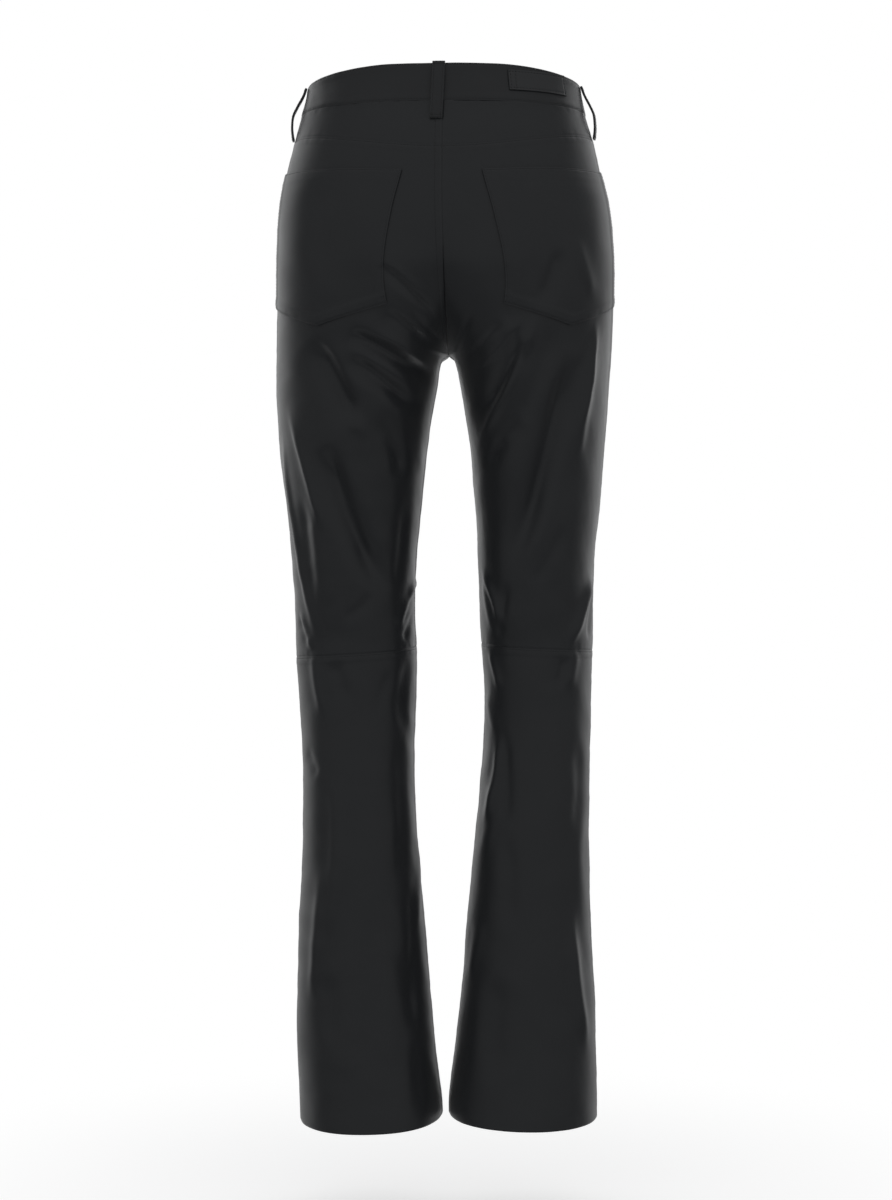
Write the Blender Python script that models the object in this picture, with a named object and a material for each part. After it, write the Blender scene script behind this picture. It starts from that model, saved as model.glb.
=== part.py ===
"""Straight-leg leather trousers with the cut of five-pocket jeans, filled out as if worn.

Each half is a tube of superellipse sections. Above the crotch the centre plane cuts the tube, so the
cut edge is the seat and front rise. Every piece is a wall of leather between two seams of that tube,
and what is sewn onto a panel is made from the panel's own points, moved out.

Axes: +Z up, the front faces -Y, the wearer's left is +X. The origin is where the waist holds the
garment: the middle of the waist, level with the waistband's top edge at the sides.
Sizes in the tables are millimetres. An s runs along a section from the side seam, 0, to the centre
seam or inseam, 1.
"""

import math
from collections import namedtuple

import bpy
import numpy as np

MM = 0.001

LEFT, RIGHT = 1, -1
BACK, FRONT = 1, -1

# Leather and seams
LEATHER = 1.4
SEAM_GAP = 0.3
LAID_GAP = 0.6  # between a panel and what lies on it, over the chords of both grids

# Heights
CROTCH_Z = -271.0
BAND_BOTTOM_Z = -30.0
BAND_TOP_SIDE_Z = 1.0
BAND_TOP_BACK_RISE = 7.5
BAND_RISE_SHARE = 0.7  # share of the half back over which the band's top edge rises
BAND_FRONT_DIP = 7.0
YOKE_SIDE_Z, YOKE_CENTRE_Z = -55.0, -75.0
YOKE_FADE = 110.0  # below this depth under the yoke the rows run level
CENTRE_SHIFT = -3.0  # the crotch lies this far to the wearer's right
CENTRE_SHIFT_TOP, CENTRE_SHIFT_END = -110.0, -250.0

# How far out each side reaches, how deep the section is, how square (2 is an ellipse), and where each
# half's tube is deepest, counted from the middle plane.
Section = namedtuple("Section", "z left_out right_out left_axis right_axis back front square")
SECTIONS = [
    Section(20, 139.0, 135.0, 0.0, 0.0, 89, -82, 2.25),
    Section(0, 140.0, 136.0, 0.0, 0.0, 92, -86, 2.25),
    Section(-30, 146.5, 142.0, 0.0, 0.0, 98, -91, 2.3),
    Section(-61, 154.5, 151.0, 5.0, 5.0, 106, -97, 2.3),
    Section(-92, 162.0, 158.0, 12.0, 12.0, 113, -102, 2.3),
    Section(-122, 167.5, 165.5, 20.0, 20.0, 118, -105, 2.3),
    Section(-153, 169.8, 169.2, 30.0, 30.0, 120, -107, 2.3),
    Section(-183, 170.6, 170.6, 41.0, 41.0, 119, -108, 2.3),
    Section(-214, 171.0, 170.4, 52.5, 53.0, 114, -108, 2.25),
    Section(-245, 172.0, 169.4, 63.5, 64.5, 107, -107, 2.2),
    Section(-271, 172.6, 168.0, 71.5, 73.0, 101, -106, 2.15),
    Section(-301, 172.5, 166.0, 79.0, 80.5, 96, -104, 2.15),
    Section(-347, 170.5, 162.5, 87.0, 87.5, 88, -99, 2.15),
    Section(-393, 166.5, 158.5, 92.5, 91.5, 81, -94, 2.15),
    Section(-438, 161.5, 155.0, 94.3, 92.9, 75, -88, 2.15),
    Section(-484, 157.0, 151.0, 94.0, 92.0, 69, -82, 2.15),
    Section(-530, 153.5, 149.5, 93.0, 92.0, 63, -76, 2.15),
    Section(-576, 152.0, 148.5, 91.5, 92.8, 58, -71, 2.15),
    Section(-622, 149.5, 147.5, 90.3, 93.3, 58, -66, 2.1),
    Section(-668, 146.5, 146.5, 89.4, 92.3, 60, -62, 2.1),
    Section(-714, 145.5, 145.5, 88.7, 90.1, 63, -60, 2.1),
    Section(-760, 145.5, 145.5, 87.4, 87.5, 65, -60, 2.1),
    Section(-806, 147.5, 146.5, 86.6, 85.8, 67, -61, 2.1),
    Section(-851, 150.0, 147.5, 85.6, 84.5, 68, -62, 2.1),
    Section(-943, 151.5, 151.5, 82.5, 82.2, 72, -66, 2.1),
    Section(-1042, 148.0, 153.5, 75.2, 78.3, 77, -70, 2.1),
    Section(-1060, 147.5, 153.5, 74.8, 78.2, 78, -71, 2.1),
]

# Below the crotch: how far the inner side of each leg lies from the middle plane.
Inner = namedtuple("Inner", "z left_in right_in")
INNERS = [
    Inner(-271, -3.0, 3.0),
    Inner(-274.5, 3.4, 8.0),
    Inner(-279, 5.4, 10.0),
    Inner(-286, 7.0, 11.9),
    Inner(-301, 8.8, 14.6),
    Inner(-331, 14.6, 20.0),
    Inner(-362, 18.8, 24.4),
    Inner(-393, 22.2, 27.0),
    Inner(-438, 27.0, 30.8),
    Inner(-484, 31.0, 32.8),
    Inner(-530, 32.8, 34.6),
    Inner(-576, 30.6, 37.2),
    Inner(-622, 31.2, 39.2),
    Inner(-668, 32.2, 38.2),
    Inner(-714, 31.8, 34.8),
    Inner(-760, 29.2, 29.4),
    Inner(-806, 25.8, 25.2),
    Inner(-851, 21.2, 21.6),
    Inner(-897, 17.8, 17.6),
    Inner(-943, 13.6, 12.8),
    Inner(-989, 9.4, 7.8),
    Inner(-1035, 3.0, 3.0),
    Inner(-1060, 2.0, 3.0),
]

# Above the crotch: how far the inner side of each half's tube has closed on the middle plane, from a
# whole ring, 0, to its own tube, 1.
Rise = namedtuple("Rise", "z closed")
RISES = [
    Rise(20, 0.0),
    Rise(-110, 0.0),
    Rise(-150, 0.08),
    Rise(-200, 0.25),
    Rise(-230, 0.42),
    Rise(-250, 0.58),
    Rise(-262, 0.76),
    Rise(-271, 1.0),
]

# The side seam lies this many degrees behind the widest point.
SideSeam = namedtuple("SideSeam", "z behind")
SIDE_SEAMS = [
    SideSeam(20, 5.0),
    SideSeam(-60, 6.5),
    SideSeam(-120, 9.0),
    SideSeam(-230, 9.0),
    SideSeam(-340, 4.0),
    SideSeam(-500, 1.0),
    SideSeam(-1060, 1.0),
]

# Where the knee seam and the hem run.
LegEdge = namedtuple("LegEdge", "outer inner dip")
KNEE_SEAMS = {LEFT: LegEdge(-578.0, -567.0, 0.0), RIGHT: LegEdge(-571.0, -564.0, 0.0)}
HEMS = {LEFT: LegEdge(-1048.0, -1042.0, 4.0), RIGHT: LegEdge(-1044.0, -1040.0, 3.5)}
LEG_EDGE_POWER = 1.5  # most of a leg edge's rise comes by the inseam

# The largest folds. Each runs on one leg's face through three (x, z) points as seen from behind or
# from in front; x counts from the middle plane towards that leg's side. Rise is out, minus is in.
Fold = namedtuple("Fold", "leg face x0 z0 x1 z1 x2 z2 width rise")
FOLDS = [
    # drag lines from the seat and crotch, wearer's left
    Fold(LEFT, BACK, 58, -238, 37, -255, 4, -268, 7, -2.4),
    Fold(LEFT, BACK, 88, -245, 48, -264, 10, -284, 8, 2.2),
    Fold(LEFT, BACK, 90, -258, 46, -280, 10, -298, 9, -3.4),
    Fold(LEFT, BACK, 93, -279, 57, -302, 27, -323, 9, -3.0),
    Fold(LEFT, BACK, 139, -262, 111, -309, 86, -349, 17, -4.2),
    Fold(LEFT, BACK, 67, -344, 45, -376, 57, -402, 9, -2.5),
    Fold(LEFT, BACK, 120, -367, 97, -431, 51, -518, 14, -4.2),
    Fold(LEFT, BACK, 158, -322, 131, -411, 127, -558, 12, 4.2),
    # knee and calf, wearer's left
    Fold(LEFT, BACK, 149, -536, 142, -550, 134, -563, 7, -3.0),
    Fold(LEFT, BACK, 35, -510, 40, -527, 46, -543, 7, -2.6),
    Fold(LEFT, BACK, 32, -569, 43, -621, 33, -656, 9, -3.0),
    Fold(LEFT, BACK, 139, -668, 133, -684, 125, -696, 7, -2.2),
    Fold(LEFT, BACK, 32, -750, 27, -811, 33, -871, 9, 2.6),
    Fold(LEFT, BACK, 112, -777, 124, -830, 128, -908, 14, 3.0),
    Fold(LEFT, BACK, 41, -865, 36, -910, 27, -960, 9, -2.5),
    # drag lines from the seat and crotch, wearer's right
    Fold(RIGHT, BACK, 93, -234, 70, -299, 31, -369, 11, 4.2),
    Fold(RIGHT, BACK, 78, -252, 52, -300, 24, -345, 10, -3.2),
    Fold(RIGHT, BACK, 72, -246, 52, -262, 18, -288, 7, 2.6),
    Fold(RIGHT, BACK, 123, -291, 100, -372, 69, -479, 14, -4.2),
    Fold(RIGHT, BACK, 152, -240, 147, -292, 136, -350, 12, 3.2),
    Fold(RIGHT, BACK, 60, -357, 51, -371, 43, -386, 7, -2.2),
    # knee and calf, wearer's right
    Fold(RIGHT, BACK, 38, -490, 43, -525, 52, -555, 8, 2.8),
    Fold(RIGHT, BACK, 149, -493, 139, -530, 132, -566, 9, 3.2),
    Fold(RIGHT, BACK, 124, -573, 112, -592, 112, -612, 9, -2.6),
    Fold(RIGHT, BACK, 41, -612, 46, -635, 53, -656, 8, 2.2),
    Fold(RIGHT, BACK, 40, -700, 47, -735, 34, -792, 10, 3.0),
    Fold(RIGHT, BACK, 142, -726, 134, -780, 146, -866, 12, 3.0),
    Fold(RIGHT, BACK, 130, -850, 134, -910, 147, -988, 11, 2.6),
    # the front, both legs
    Fold(LEFT, FRONT, 14, -262, 58, -262, 104, -240, 9, -2.6),
    Fold(LEFT, FRONT, 22, -288, 62, -304, 112, -300, 10, -3.0),
    Fold(LEFT, FRONT, 150, -330, 118, -405, 66, -478, 14, -3.8),
    Fold(LEFT, FRONT, 134, -540, 98, -556, 58, -546, 9, -3.0),
    Fold(LEFT, FRONT, 136, -596, 98, -612, 60, -598, 9, -2.6),
    Fold(LEFT, FRONT, 62, -700, 84, -800, 76, -905, 14, 2.6),
    Fold(RIGHT, FRONT, 16, -256, 54, -254, 96, -228, 9, -2.6),
    Fold(RIGHT, FRONT, 26, -296, 68, -316, 118, -318, 10, -3.2),
    Fold(RIGHT, FRONT, 144, -356, 112, -430, 70, -500, 14, -3.6),
    Fold(RIGHT, FRONT, 130, -532, 92, -546, 56, -536, 9, -2.8),
    Fold(RIGHT, FRONT, 132, -604, 96, -618, 62, -608, 9, -2.4),
    Fold(RIGHT, FRONT, 104, -720, 88, -815, 100, -930, 14, 2.6),
]


def smooth(t):
    """A soft step from 0 to 1."""
    t = np.clip(t, 0.0, 1.0)
    return t * t * (3.0 - 2.0 * t)


def column(rows, name):
    """A smooth curve through one column of a table whose z falls from row to row."""
    z = -np.array([row.z for row in rows])
    v = np.array([getattr(row, name) for row in rows])
    step = np.diff(z)
    slope = np.diff(v) / step
    at = np.zeros(len(z))
    same = slope[:-1] * slope[1:] > 0
    both = slope[:-1] + slope[1:]
    at[1:-1] = np.where(same, 2.0 * slope[:-1] * slope[1:] / np.where(same, both, 1.0), 0.0)
    at[0], at[-1] = slope[0], slope[-1]

    def value(height):
        h = np.clip(-np.asarray(height, float), z[0], z[-1])
        i = np.clip(np.searchsorted(z, h) - 1, 0, len(step) - 1)
        t = (h - z[i]) / step[i]
        return (
            v[i] * (1 + 2 * t) * (1 - t) ** 2
            + at[i] * step[i] * t * (1 - t) ** 2
            + v[i + 1] * t * t * (3 - 2 * t)
            + at[i + 1] * step[i] * t * t * (t - 1)
        )

    return value


OUT = {LEFT: column(SECTIONS, "left_out"), RIGHT: column(SECTIONS, "right_out")}
AXIS = {LEFT: column(SECTIONS, "left_axis"), RIGHT: column(SECTIONS, "right_axis")}
IN = {LEFT: column(INNERS, "left_in"), RIGHT: column(INNERS, "right_in")}
DEPTH = {BACK: column(SECTIONS, "back"), FRONT: column(SECTIONS, "front")}
SQUARE = column(SECTIONS, "square")
CLOSED = column(RISES, "closed")
SEAM_BEHIND = column(SIDE_SEAMS, "behind")
ARC_STEPS = 96
NORMAL_S, NORMAL_Z = 0.004, 0.6  # steps over which the outward direction is taken


def centre_x(z):
    """Where the middle plane lies, on the wearer's left."""
    return CENTRE_SHIFT * smooth((CENTRE_SHIFT_TOP - z) / (CENTRE_SHIFT_TOP - CENTRE_SHIFT_END))


def section(side, face, z):
    """One face's half section at height z: points from the side seam to the centre seam or inseam."""
    axis = float(AXIS[side](z))
    reach_out = float(OUT[side](z)) - axis
    middle = side * float(centre_x(z))
    power = float(SQUARE(z))
    end = math.pi
    if z > CROTCH_Z:
        closed = float(CLOSED(z))
        reach_in = reach_out * (1 - closed) + (axis - middle) * closed
        end = math.acos(-min(1.0, max(0.0, axis - middle) / reach_in) ** (power / 2.0))
    else:
        reach_in = axis - float(IN[side](z))
    back, front = float(DEPTH[BACK](z)), float(DEPTH[FRONT](z))
    angle = np.linspace(math.radians(float(SEAM_BEHIND(z))), face * end, ARC_STEPS)
    c, s = np.cos(angle), np.sin(angle)
    x = axis + np.where(c > 0, reach_out, reach_in) * np.sign(c) * np.abs(c) ** (2.0 / power)
    y = 0.5 * (back + front) + 0.5 * (back - front) * np.sign(s) * np.abs(s) ** (2.0 / power)
    return np.stack([side * x, y], axis=1)


class Panel:
    """One face of one half: finds the point and the outward direction at (s, z)."""

    def __init__(self, side, face):
        self.side, self.face = side, face
        self.kept = {}

    def arc(self, z):
        key = round(float(z), 4)
        if key not in self.kept:
            points = section(self.side, self.face, key)
            run = np.concatenate([[0], np.cumsum(np.linalg.norm(np.diff(points, axis=0), axis=1))])
            self.kept[key] = (points, run)
        return self.kept[key]

    def length(self, z):
        return self.arc(z)[1][-1]

    def place(self, s, z):
        points, run = self.arc(z)
        want = np.clip(s, 0.0, 1.0) * run[-1]
        return np.array([np.interp(want, run, points[:, 0]), np.interp(want, run, points[:, 1]), z])

    def outward(self, s, z):
        """The unit direction out of the cloth, before any folds."""
        along = self.place(s + NORMAL_S, z) - self.place(s - NORMAL_S, z)
        down = self.place(s, z - NORMAL_Z) - self.place(s, z + NORMAL_Z)
        normal = np.cross(down, along) * self.side * self.face
        return normal / np.linalg.norm(normal)


PANELS = {(side, face): Panel(side, face) for side in (LEFT, RIGHT) for face in (BACK, FRONT)}


# ---------------------------------------------------------------- folds

FOLD_STEPS = 20
FOLD_TAPER = 0.3  # share of a fold's length over which each end dies away


def fold_path(fold):
    """The fold's line on the cloth."""
    t = np.linspace(0.0, 1.0, FOLD_STEPS)
    first, middle, last = (1 - t) * (1 - 2 * t), 4 * t * (1 - t), t * (2 * t - 1)
    x = fold.x0 * first + fold.x1 * middle + fold.x2 * last
    z = fold.z0 * first + fold.z1 * middle + fold.z2 * last
    path = []
    for px, pz in zip(x, z):
        points = section(fold.leg, fold.face, float(pz))
        across = points[::-1] * [fold.leg, 1.0]
        y = np.interp(px, across[:, 0], across[:, 1])
        path.append([fold.leg * px, y, pz])
    return np.array(path)


FOLD_PATHS = [(fold, fold_path(fold)) for fold in FOLDS]


def fold_height(point, leg):
    """How far the folds move the cloth out at a point of one leg."""
    height = 0.0
    for fold, path in FOLD_PATHS:
        if fold.leg != leg:
            continue
        start, run = path[:-1], np.diff(path, axis=0)
        share = np.clip(np.sum((point - start) * run, axis=1) / np.sum(run * run, axis=1), 0, 1)
        away = np.linalg.norm(point - start - run * share[:, None], axis=1)
        near = int(np.argmin(away))
        t = (near + share[near]) / len(run)
        fade = smooth(t / FOLD_TAPER) * smooth((1 - t) / FOLD_TAPER)
        height += fold.rise * fade * math.exp(-((away[near] / fold.width) ** 2))
    return height


def cloth_point(panel, s, z, lift=0.0):
    """A point of the folded cloth on its own side of the middle plane, and its outward direction."""
    base = panel.place(s, z)
    normal = panel.outward(s, z)
    point = base + normal * (fold_height(base, panel.side) + lift)
    limit = panel.side * float(centre_x(z)) + 0.5 * SEAM_GAP
    point[0] = panel.side * max(panel.side * point[0], limit)
    return point, normal


def around(g, z, lift=0.0):
    """A point on the waist's ring. g runs from 0 at the centre back to 2 at the centre front, and is
    positive on the wearer's left. Past 2 it goes on round."""
    if abs(g) > 2:
        g -= math.copysign(4, g)
    side = LEFT if g >= 0 else RIGHT
    if abs(g) <= 1:
        panel, s = PANELS[side, BACK], 1 - abs(g)
    else:
        panel, s = PANELS[side, FRONT], abs(g) - 1
    normal = panel.outward(s, z)
    return panel.place(s, z) + normal * lift, normal


# ---------------------------------------------------------------- solids


def material(name, colour, roughness, metallic=0.0):
    mat = bpy.data.materials.new(name)
    mat.use_nodes = True
    shader = mat.node_tree.nodes["Principled BSDF"]
    shader.inputs["Base Color"].default_value = (*colour, 1.0)
    shader.inputs["Roughness"].default_value = roughness
    shader.inputs["Metallic"].default_value = metallic
    return mat


def closed_mesh(name, points, faces, mat):
    """Makes an object whose faces point out, from millimetre points."""
    points = np.asarray(points, float)
    volume = 0.0
    for face in faces:
        corner = points[face]
        for a, b in zip(corner[1:-1], corner[2:]):
            volume += np.dot(corner[0], np.cross(a, b))
    if volume < 0:
        faces = [face[::-1] for face in faces]
    mesh = bpy.data.meshes.new(name)
    mesh.from_pydata([tuple(p * MM) for p in points], [], faces)
    mesh.materials.append(mat)
    mesh.shade_smooth()
    mesh.set_sharp_from_angle(angle=math.radians(40))
    mesh.update()
    obj = bpy.data.objects.new(name, mesh)
    bpy.context.scene.collection.objects.link(obj)
    return obj


def wall(name, outer, inner, mat):
    """A wall between two grids of points, rows by columns."""
    rows, cols = outer.shape[:2]
    points = np.concatenate([outer.reshape(-1, 3), inner.reshape(-1, 3)])
    back = rows * cols

    def at(r, c):
        return r * cols + c

    faces = []
    for r in range(rows - 1):
        for c in range(cols - 1):
            quad = [at(r, c), at(r, c + 1), at(r + 1, c + 1), at(r + 1, c)]
            faces.append(quad)
            faces.append([back + i for i in reversed(quad)])
    rim = [at(0, c) for c in range(cols)] + [at(r, cols - 1) for r in range(1, rows)]
    rim += [at(rows - 1, c) for c in range(cols - 2, -1, -1)] + [at(r, 0) for r in range(rows - 2, 0, -1)]
    for a, b in zip(rim, rim[1:] + rim[:1]):
        faces.append([b, a, back + a, back + b])
    return closed_mesh(name, points, faces, mat)


def part_seams(grid, seams):
    """Moves the named edges of a grid in by half a seam's gap."""
    moved = grid.copy()
    edges = {
        "first": ((slice(None), 0), (slice(None), 1)),
        "last": ((slice(None), -1), (slice(None), -2)),
        "top": ((0,), (1,)),
        "bottom": ((-1,), (-2,)),
    }
    for seam in seams:
        edge, beside = edges[seam]
        run = grid[beside] - grid[edge]
        moved[edge] += 0.5 * SEAM_GAP * run / np.linalg.norm(run, axis=-1, keepdims=True)
    return moved


def sew(name, panel, s_rows, z_rows, seams, mat, lift=0.0, thick=LEATHER):
    """A piece of leather over a grid of (s, z), its outer face lifted off the section."""
    outer = np.zeros((*np.shape(z_rows), 3))
    normal = np.zeros_like(outer)
    lifts = np.broadcast_to(lift, np.shape(z_rows))
    for r, (s_row, z_row) in enumerate(zip(s_rows, z_rows)):
        for c, (s, z) in enumerate(zip(s_row, z_row)):
            outer[r, c], normal[r, c] = cloth_point(panel, s, z, lifts[r, c])
    outer = part_seams(outer, seams)
    return wall(name, outer, outer - normal * thick, mat)


# ---------------------------------------------------------------- rows of the panels

KNEE_LEVEL = -575.0
KNEE_FADE_LEVEL = -350.0
YOKE_LEVELS = [-30, -42, -55]
HIP_LEVELS = [-55, -70, -85, -100, -116, -132, -148, -164, -180, -196, -211, -225, -238, -250, -259, -266]
CROTCH_LEVELS = [CROTCH_Z, -276, -284, -294, -306, -320, -335, -350]
THIGH_LEVELS = [-366, -382, -400, -418, -436, -455, -474, -493, -512, -530, -546, -561, KNEE_LEVEL]
LOWER_LEG_ROWS = 15
BACK_COLUMNS, FRONT_COLUMNS, LOWER_COLUMNS = 17, 13, 11


def yoke_seam(s):
    return YOKE_SIDE_Z + (YOKE_CENTRE_Z - YOKE_SIDE_Z) * smooth(s)


def band_bottom(face, s):
    return BAND_BOTTOM_Z - (BAND_FRONT_DIP * smooth(s) if face == FRONT else 0.0)


def band_top(face, s):
    if face == BACK:
        return BAND_TOP_SIDE_Z + BAND_TOP_BACK_RISE * smooth(s / BAND_RISE_SHARE)
    return BAND_TOP_SIDE_Z - BAND_FRONT_DIP * smooth(s)


def leg_edge(edge, s):
    """The knee seam or the hem: its height at s."""
    return edge.outer + (edge.inner - edge.outer) * s**LEG_EDGE_POWER - edge.dip * math.sin(math.pi * s)


def panel_row(side, face, level, s):
    """The height of a panel's row, which follows the seams near them and is level between."""
    z = level
    if face == BACK:
        z += (yoke_seam(s) - YOKE_SIDE_Z) * (1 - smooth((YOKE_SIDE_Z - level) / YOKE_FADE))
    else:
        z += (band_bottom(face, s) - BAND_BOTTOM_Z) * (1 - smooth((BAND_BOTTOM_Z - level) / YOKE_FADE))
    knee = smooth((level - KNEE_FADE_LEVEL) / (KNEE_LEVEL - KNEE_FADE_LEVEL))
    return z + (leg_edge(KNEE_SEAMS[side], s) - KNEE_LEVEL) * knee


def spread(columns):
    return np.linspace(0.0, 1.0, columns)


# ---------------------------------------------------------------- the pieces


def panel_pieces(side, tag, leather):
    """The yoke, back, front and lower leg pieces of one half."""
    back, front = PANELS[side, BACK], PANELS[side, FRONT]
    s = spread(BACK_COLUMNS)
    shares = np.linspace(0.0, 1.0, len(YOKE_LEVELS))
    z = [[band_bottom(BACK, a) * (1 - t) + yoke_seam(a) * t for a in s] for t in shares]
    sew(f"yoke_{tag}", back, [s] * len(z), z, ("first", "last", "top", "bottom"), leather)

    levels = HIP_LEVELS + CROTCH_LEVELS + THIGH_LEVELS
    z = [[panel_row(side, BACK, level, a) for a in s] for level in levels]
    sew(f"back_{tag}", back, [s] * len(z), z, ("first", "last", "top", "bottom"), leather)

    s_rows, z = [], []
    levels = YOKE_LEVELS[:-1] + HIP_LEVELS[:3] + MOUTH_LEVELS + HIP_LEVELS[3:]
    levels += CROTCH_LEVELS + THIGH_LEVELS[:-3:2] + THIGH_LEVELS[-3:]
    for level in levels:
        run = front.length(level)
        start = mouth_edge(level, MOUTH_WIDTH, MOUTH_DEPTH) / run
        bunched = start + MOUTH_STEP / run * np.arange(FRONT_COLUMNS)
        s_rows.append(np.maximum(spread(FRONT_COLUMNS), bunched) if start else spread(FRONT_COLUMNS))
        z.append([panel_row(side, FRONT, level, a) for a in s_rows[-1]])
    sew(f"front_{tag}", front, s_rows, z, ("first", "last", "top", "bottom"), leather)

    s = spread(LOWER_COLUMNS)
    knee, hem = KNEE_SEAMS[side], HEMS[side]
    for panel, name in ((back, "lower_back"), (front, "lower_front")):
        shares = np.linspace(0.0, 1.0, LOWER_LEG_ROWS)
        z = [[leg_edge(knee, a) * (1 - t) + leg_edge(hem, a) * t for a in s] for t in shares]
        sew(f"{name}_{tag}", panel, [s] * len(z), z, ("first", "last", "top"), leather)


# Front pockets: the scooped mouth and the facing behind it.
MOUTH_WIDTH, MOUTH_DEPTH, MOUTH_ROUND = 85.0, 70.0, 1.7
MOUTH_LEVELS = [-93, -98]
MOUTH_STEP = 1.5  # between the columns that the mouth's edge pushes along
FACING_HEM = 14.0
FACING_GAP = 0.9  # under the front, over the chords of both grids
FACING_LEVELS = [-31, -42, -55, -70, -85, -93, -98, -104, -110]
FACING_COLUMNS = 6


def mouth_edge(level, width, depth):
    """How far the mouth's edge lies from the side seam at this level."""
    t = (BAND_BOTTOM_Z - level) / depth
    return width * (1 - t**MOUTH_ROUND) ** (1 / MOUTH_ROUND) if t < 1 else 0.0


def pocket_facing(side, tag, leather):
    front = PANELS[side, FRONT]
    s_rows, z = [], []
    for level in FACING_LEVELS:
        reach = mouth_edge(level, MOUTH_WIDTH + FACING_HEM, MOUTH_DEPTH + FACING_HEM)
        s_rows.append(spread(FACING_COLUMNS) * reach / front.length(level))
        z.append([panel_row(side, FRONT, level, a) for a in s_rows[-1]])
    lift = -(LEATHER + FACING_GAP)
    sew(f"pocket_facing_{tag}", front, s_rows, z, ("first", "top"), leather, lift)


# Back pockets. Distances run along the cloth: the inner edge from the centre seam, the outer edge
# from the side seam.
PocketEdge = namedtuple("PocketEdge", "z inner")
POCKET_INNER = [PocketEdge(-88, 36), PocketEdge(-101, 39), PocketEdge(-143, 50), PocketEdge(-196, 60)]
POCKET_INNER += [PocketEdge(-231, 62.5), PocketEdge(-252, 63)]
POCKET_TOP_INNER_Z, POCKET_TOP_OUTER_Z = -100.5, -91.0
POCKET_LOW_INNER_Z, POCKET_POINT_Z, POCKET_LOW_OUTER_Z = -230.5, -250.0, -225.0
POCKET_POINT_SHARE = 0.48
POCKET_FROM_SEAM = 5.0
POCKET_LEATHER = 1.3
POCKET_ROWS, POCKET_HALF_COLUMNS = 11, 6


def back_pocket(side, tag, leather):
    panel = PANELS[side, BACK]
    inner_edge = column(POCKET_INNER, "inner")
    across = np.concatenate([
        np.linspace(0, POCKET_POINT_SHARE, POCKET_HALF_COLUMNS),
        np.linspace(POCKET_POINT_SHARE, 1, POCKET_HALF_COLUMNS)[1:],
    ])
    s_rows, z_rows = [], []
    for down in np.linspace(0, 1, POCKET_ROWS):
        s_row, z_row = [], []
        for u in across:
            top = POCKET_TOP_INNER_Z + (POCKET_TOP_OUTER_Z - POCKET_TOP_INNER_Z) * u
            low = np.interp(
                u,
                [0, POCKET_POINT_SHARE, 1],
                [POCKET_LOW_INNER_Z, POCKET_POINT_Z, POCKET_LOW_OUTER_Z],
            )
            z = top + (low - top) * down
            run = panel.length(z)
            from_centre = (1 - u) * inner_edge(z) + u * (run - POCKET_FROM_SEAM)
            s_row.append(1 - from_centre / run)
            z_row.append(z)
        s_rows.append(s_row)
        z_rows.append(z_row)
    lift = LAID_GAP + POCKET_LEATHER
    sew(f"back_pocket_{tag}", panel, s_rows, z_rows, (), leather, lift, POCKET_LEATHER)


# Waistband: a doubled strip. Its wearer's-right end laps over the left at the front.
BAND_THICK = 2.2
BAND_PROUD = 0.6
BAND_ROWS = 4
BAND_STEPS = 64
OVERLAP_REACH, UNDERLAP_REACH = 20.0, 14.0
OVERLAP_LIFT = BAND_THICK + LAID_GAP
OVERLAP_RISE_FROM, OVERLAP_RISE_LONG = 38.0, 20.0


def band_edges(g):
    """The heights of the band's top and bottom edges at g."""
    g = abs(g) if abs(g) <= 2 else 4 - abs(g)
    face, s = (BACK, 1 - g) if g <= 1 else (FRONT, g - 1)
    return band_top(face, s), band_bottom(face, s)


def waistband(leather):
    run = PANELS[RIGHT, FRONT].length(BAND_BOTTOM_Z)
    turns = np.linspace(2 + UNDERLAP_REACH / run, -2 - OVERLAP_REACH / run, BAND_STEPS)
    outer = np.zeros((BAND_ROWS, BAND_STEPS, 3))
    normal = np.zeros_like(outer)
    for c, g in enumerate(turns):
        past_front = (g + 2) * run  # towards the wearer's right of the centre front
        lap = smooth((OVERLAP_RISE_FROM - past_front) / OVERLAP_RISE_LONG) if g < 0 else 0.0
        top, bottom = band_edges(g)
        for r, t in enumerate(np.linspace(0, 1, BAND_ROWS)):
            z = top * (1 - t) + (bottom + SEAM_GAP) * t
            outer[r, c], normal[r, c] = around(g, z, BAND_PROUD + OVERLAP_LIFT * lap)
    return wall("waistband", outer, outer - normal * BAND_THICK, leather)


# Patch on the band, on the wearer's right of the centre back. It is bare.
PATCH_FROM, PATCH_TO = 66.0, 132.0
PATCH_TOP_Z, PATCH_LOW_Z = 2.5, -18.4
PATCH_THICK = 1.0
PATCH_ROWS, PATCH_COLUMNS = 3, 9


def waistband_patch(leather):
    run = PANELS[RIGHT, BACK].length(PATCH_LOW_Z)
    turns = -np.linspace(PATCH_FROM, PATCH_TO, PATCH_COLUMNS) / run
    lift = BAND_PROUD + LAID_GAP + PATCH_THICK
    outer = np.zeros((PATCH_ROWS, PATCH_COLUMNS, 3))
    normal = np.zeros_like(outer)
    for r, z in enumerate(np.linspace(PATCH_TOP_Z, PATCH_LOW_Z, PATCH_ROWS)):
        for c, g in enumerate(turns):
            outer[r, c], normal[r, c] = around(g, z, lift)
    wall("waistband_patch", outer, outer - normal * PATCH_THICK, leather)


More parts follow.
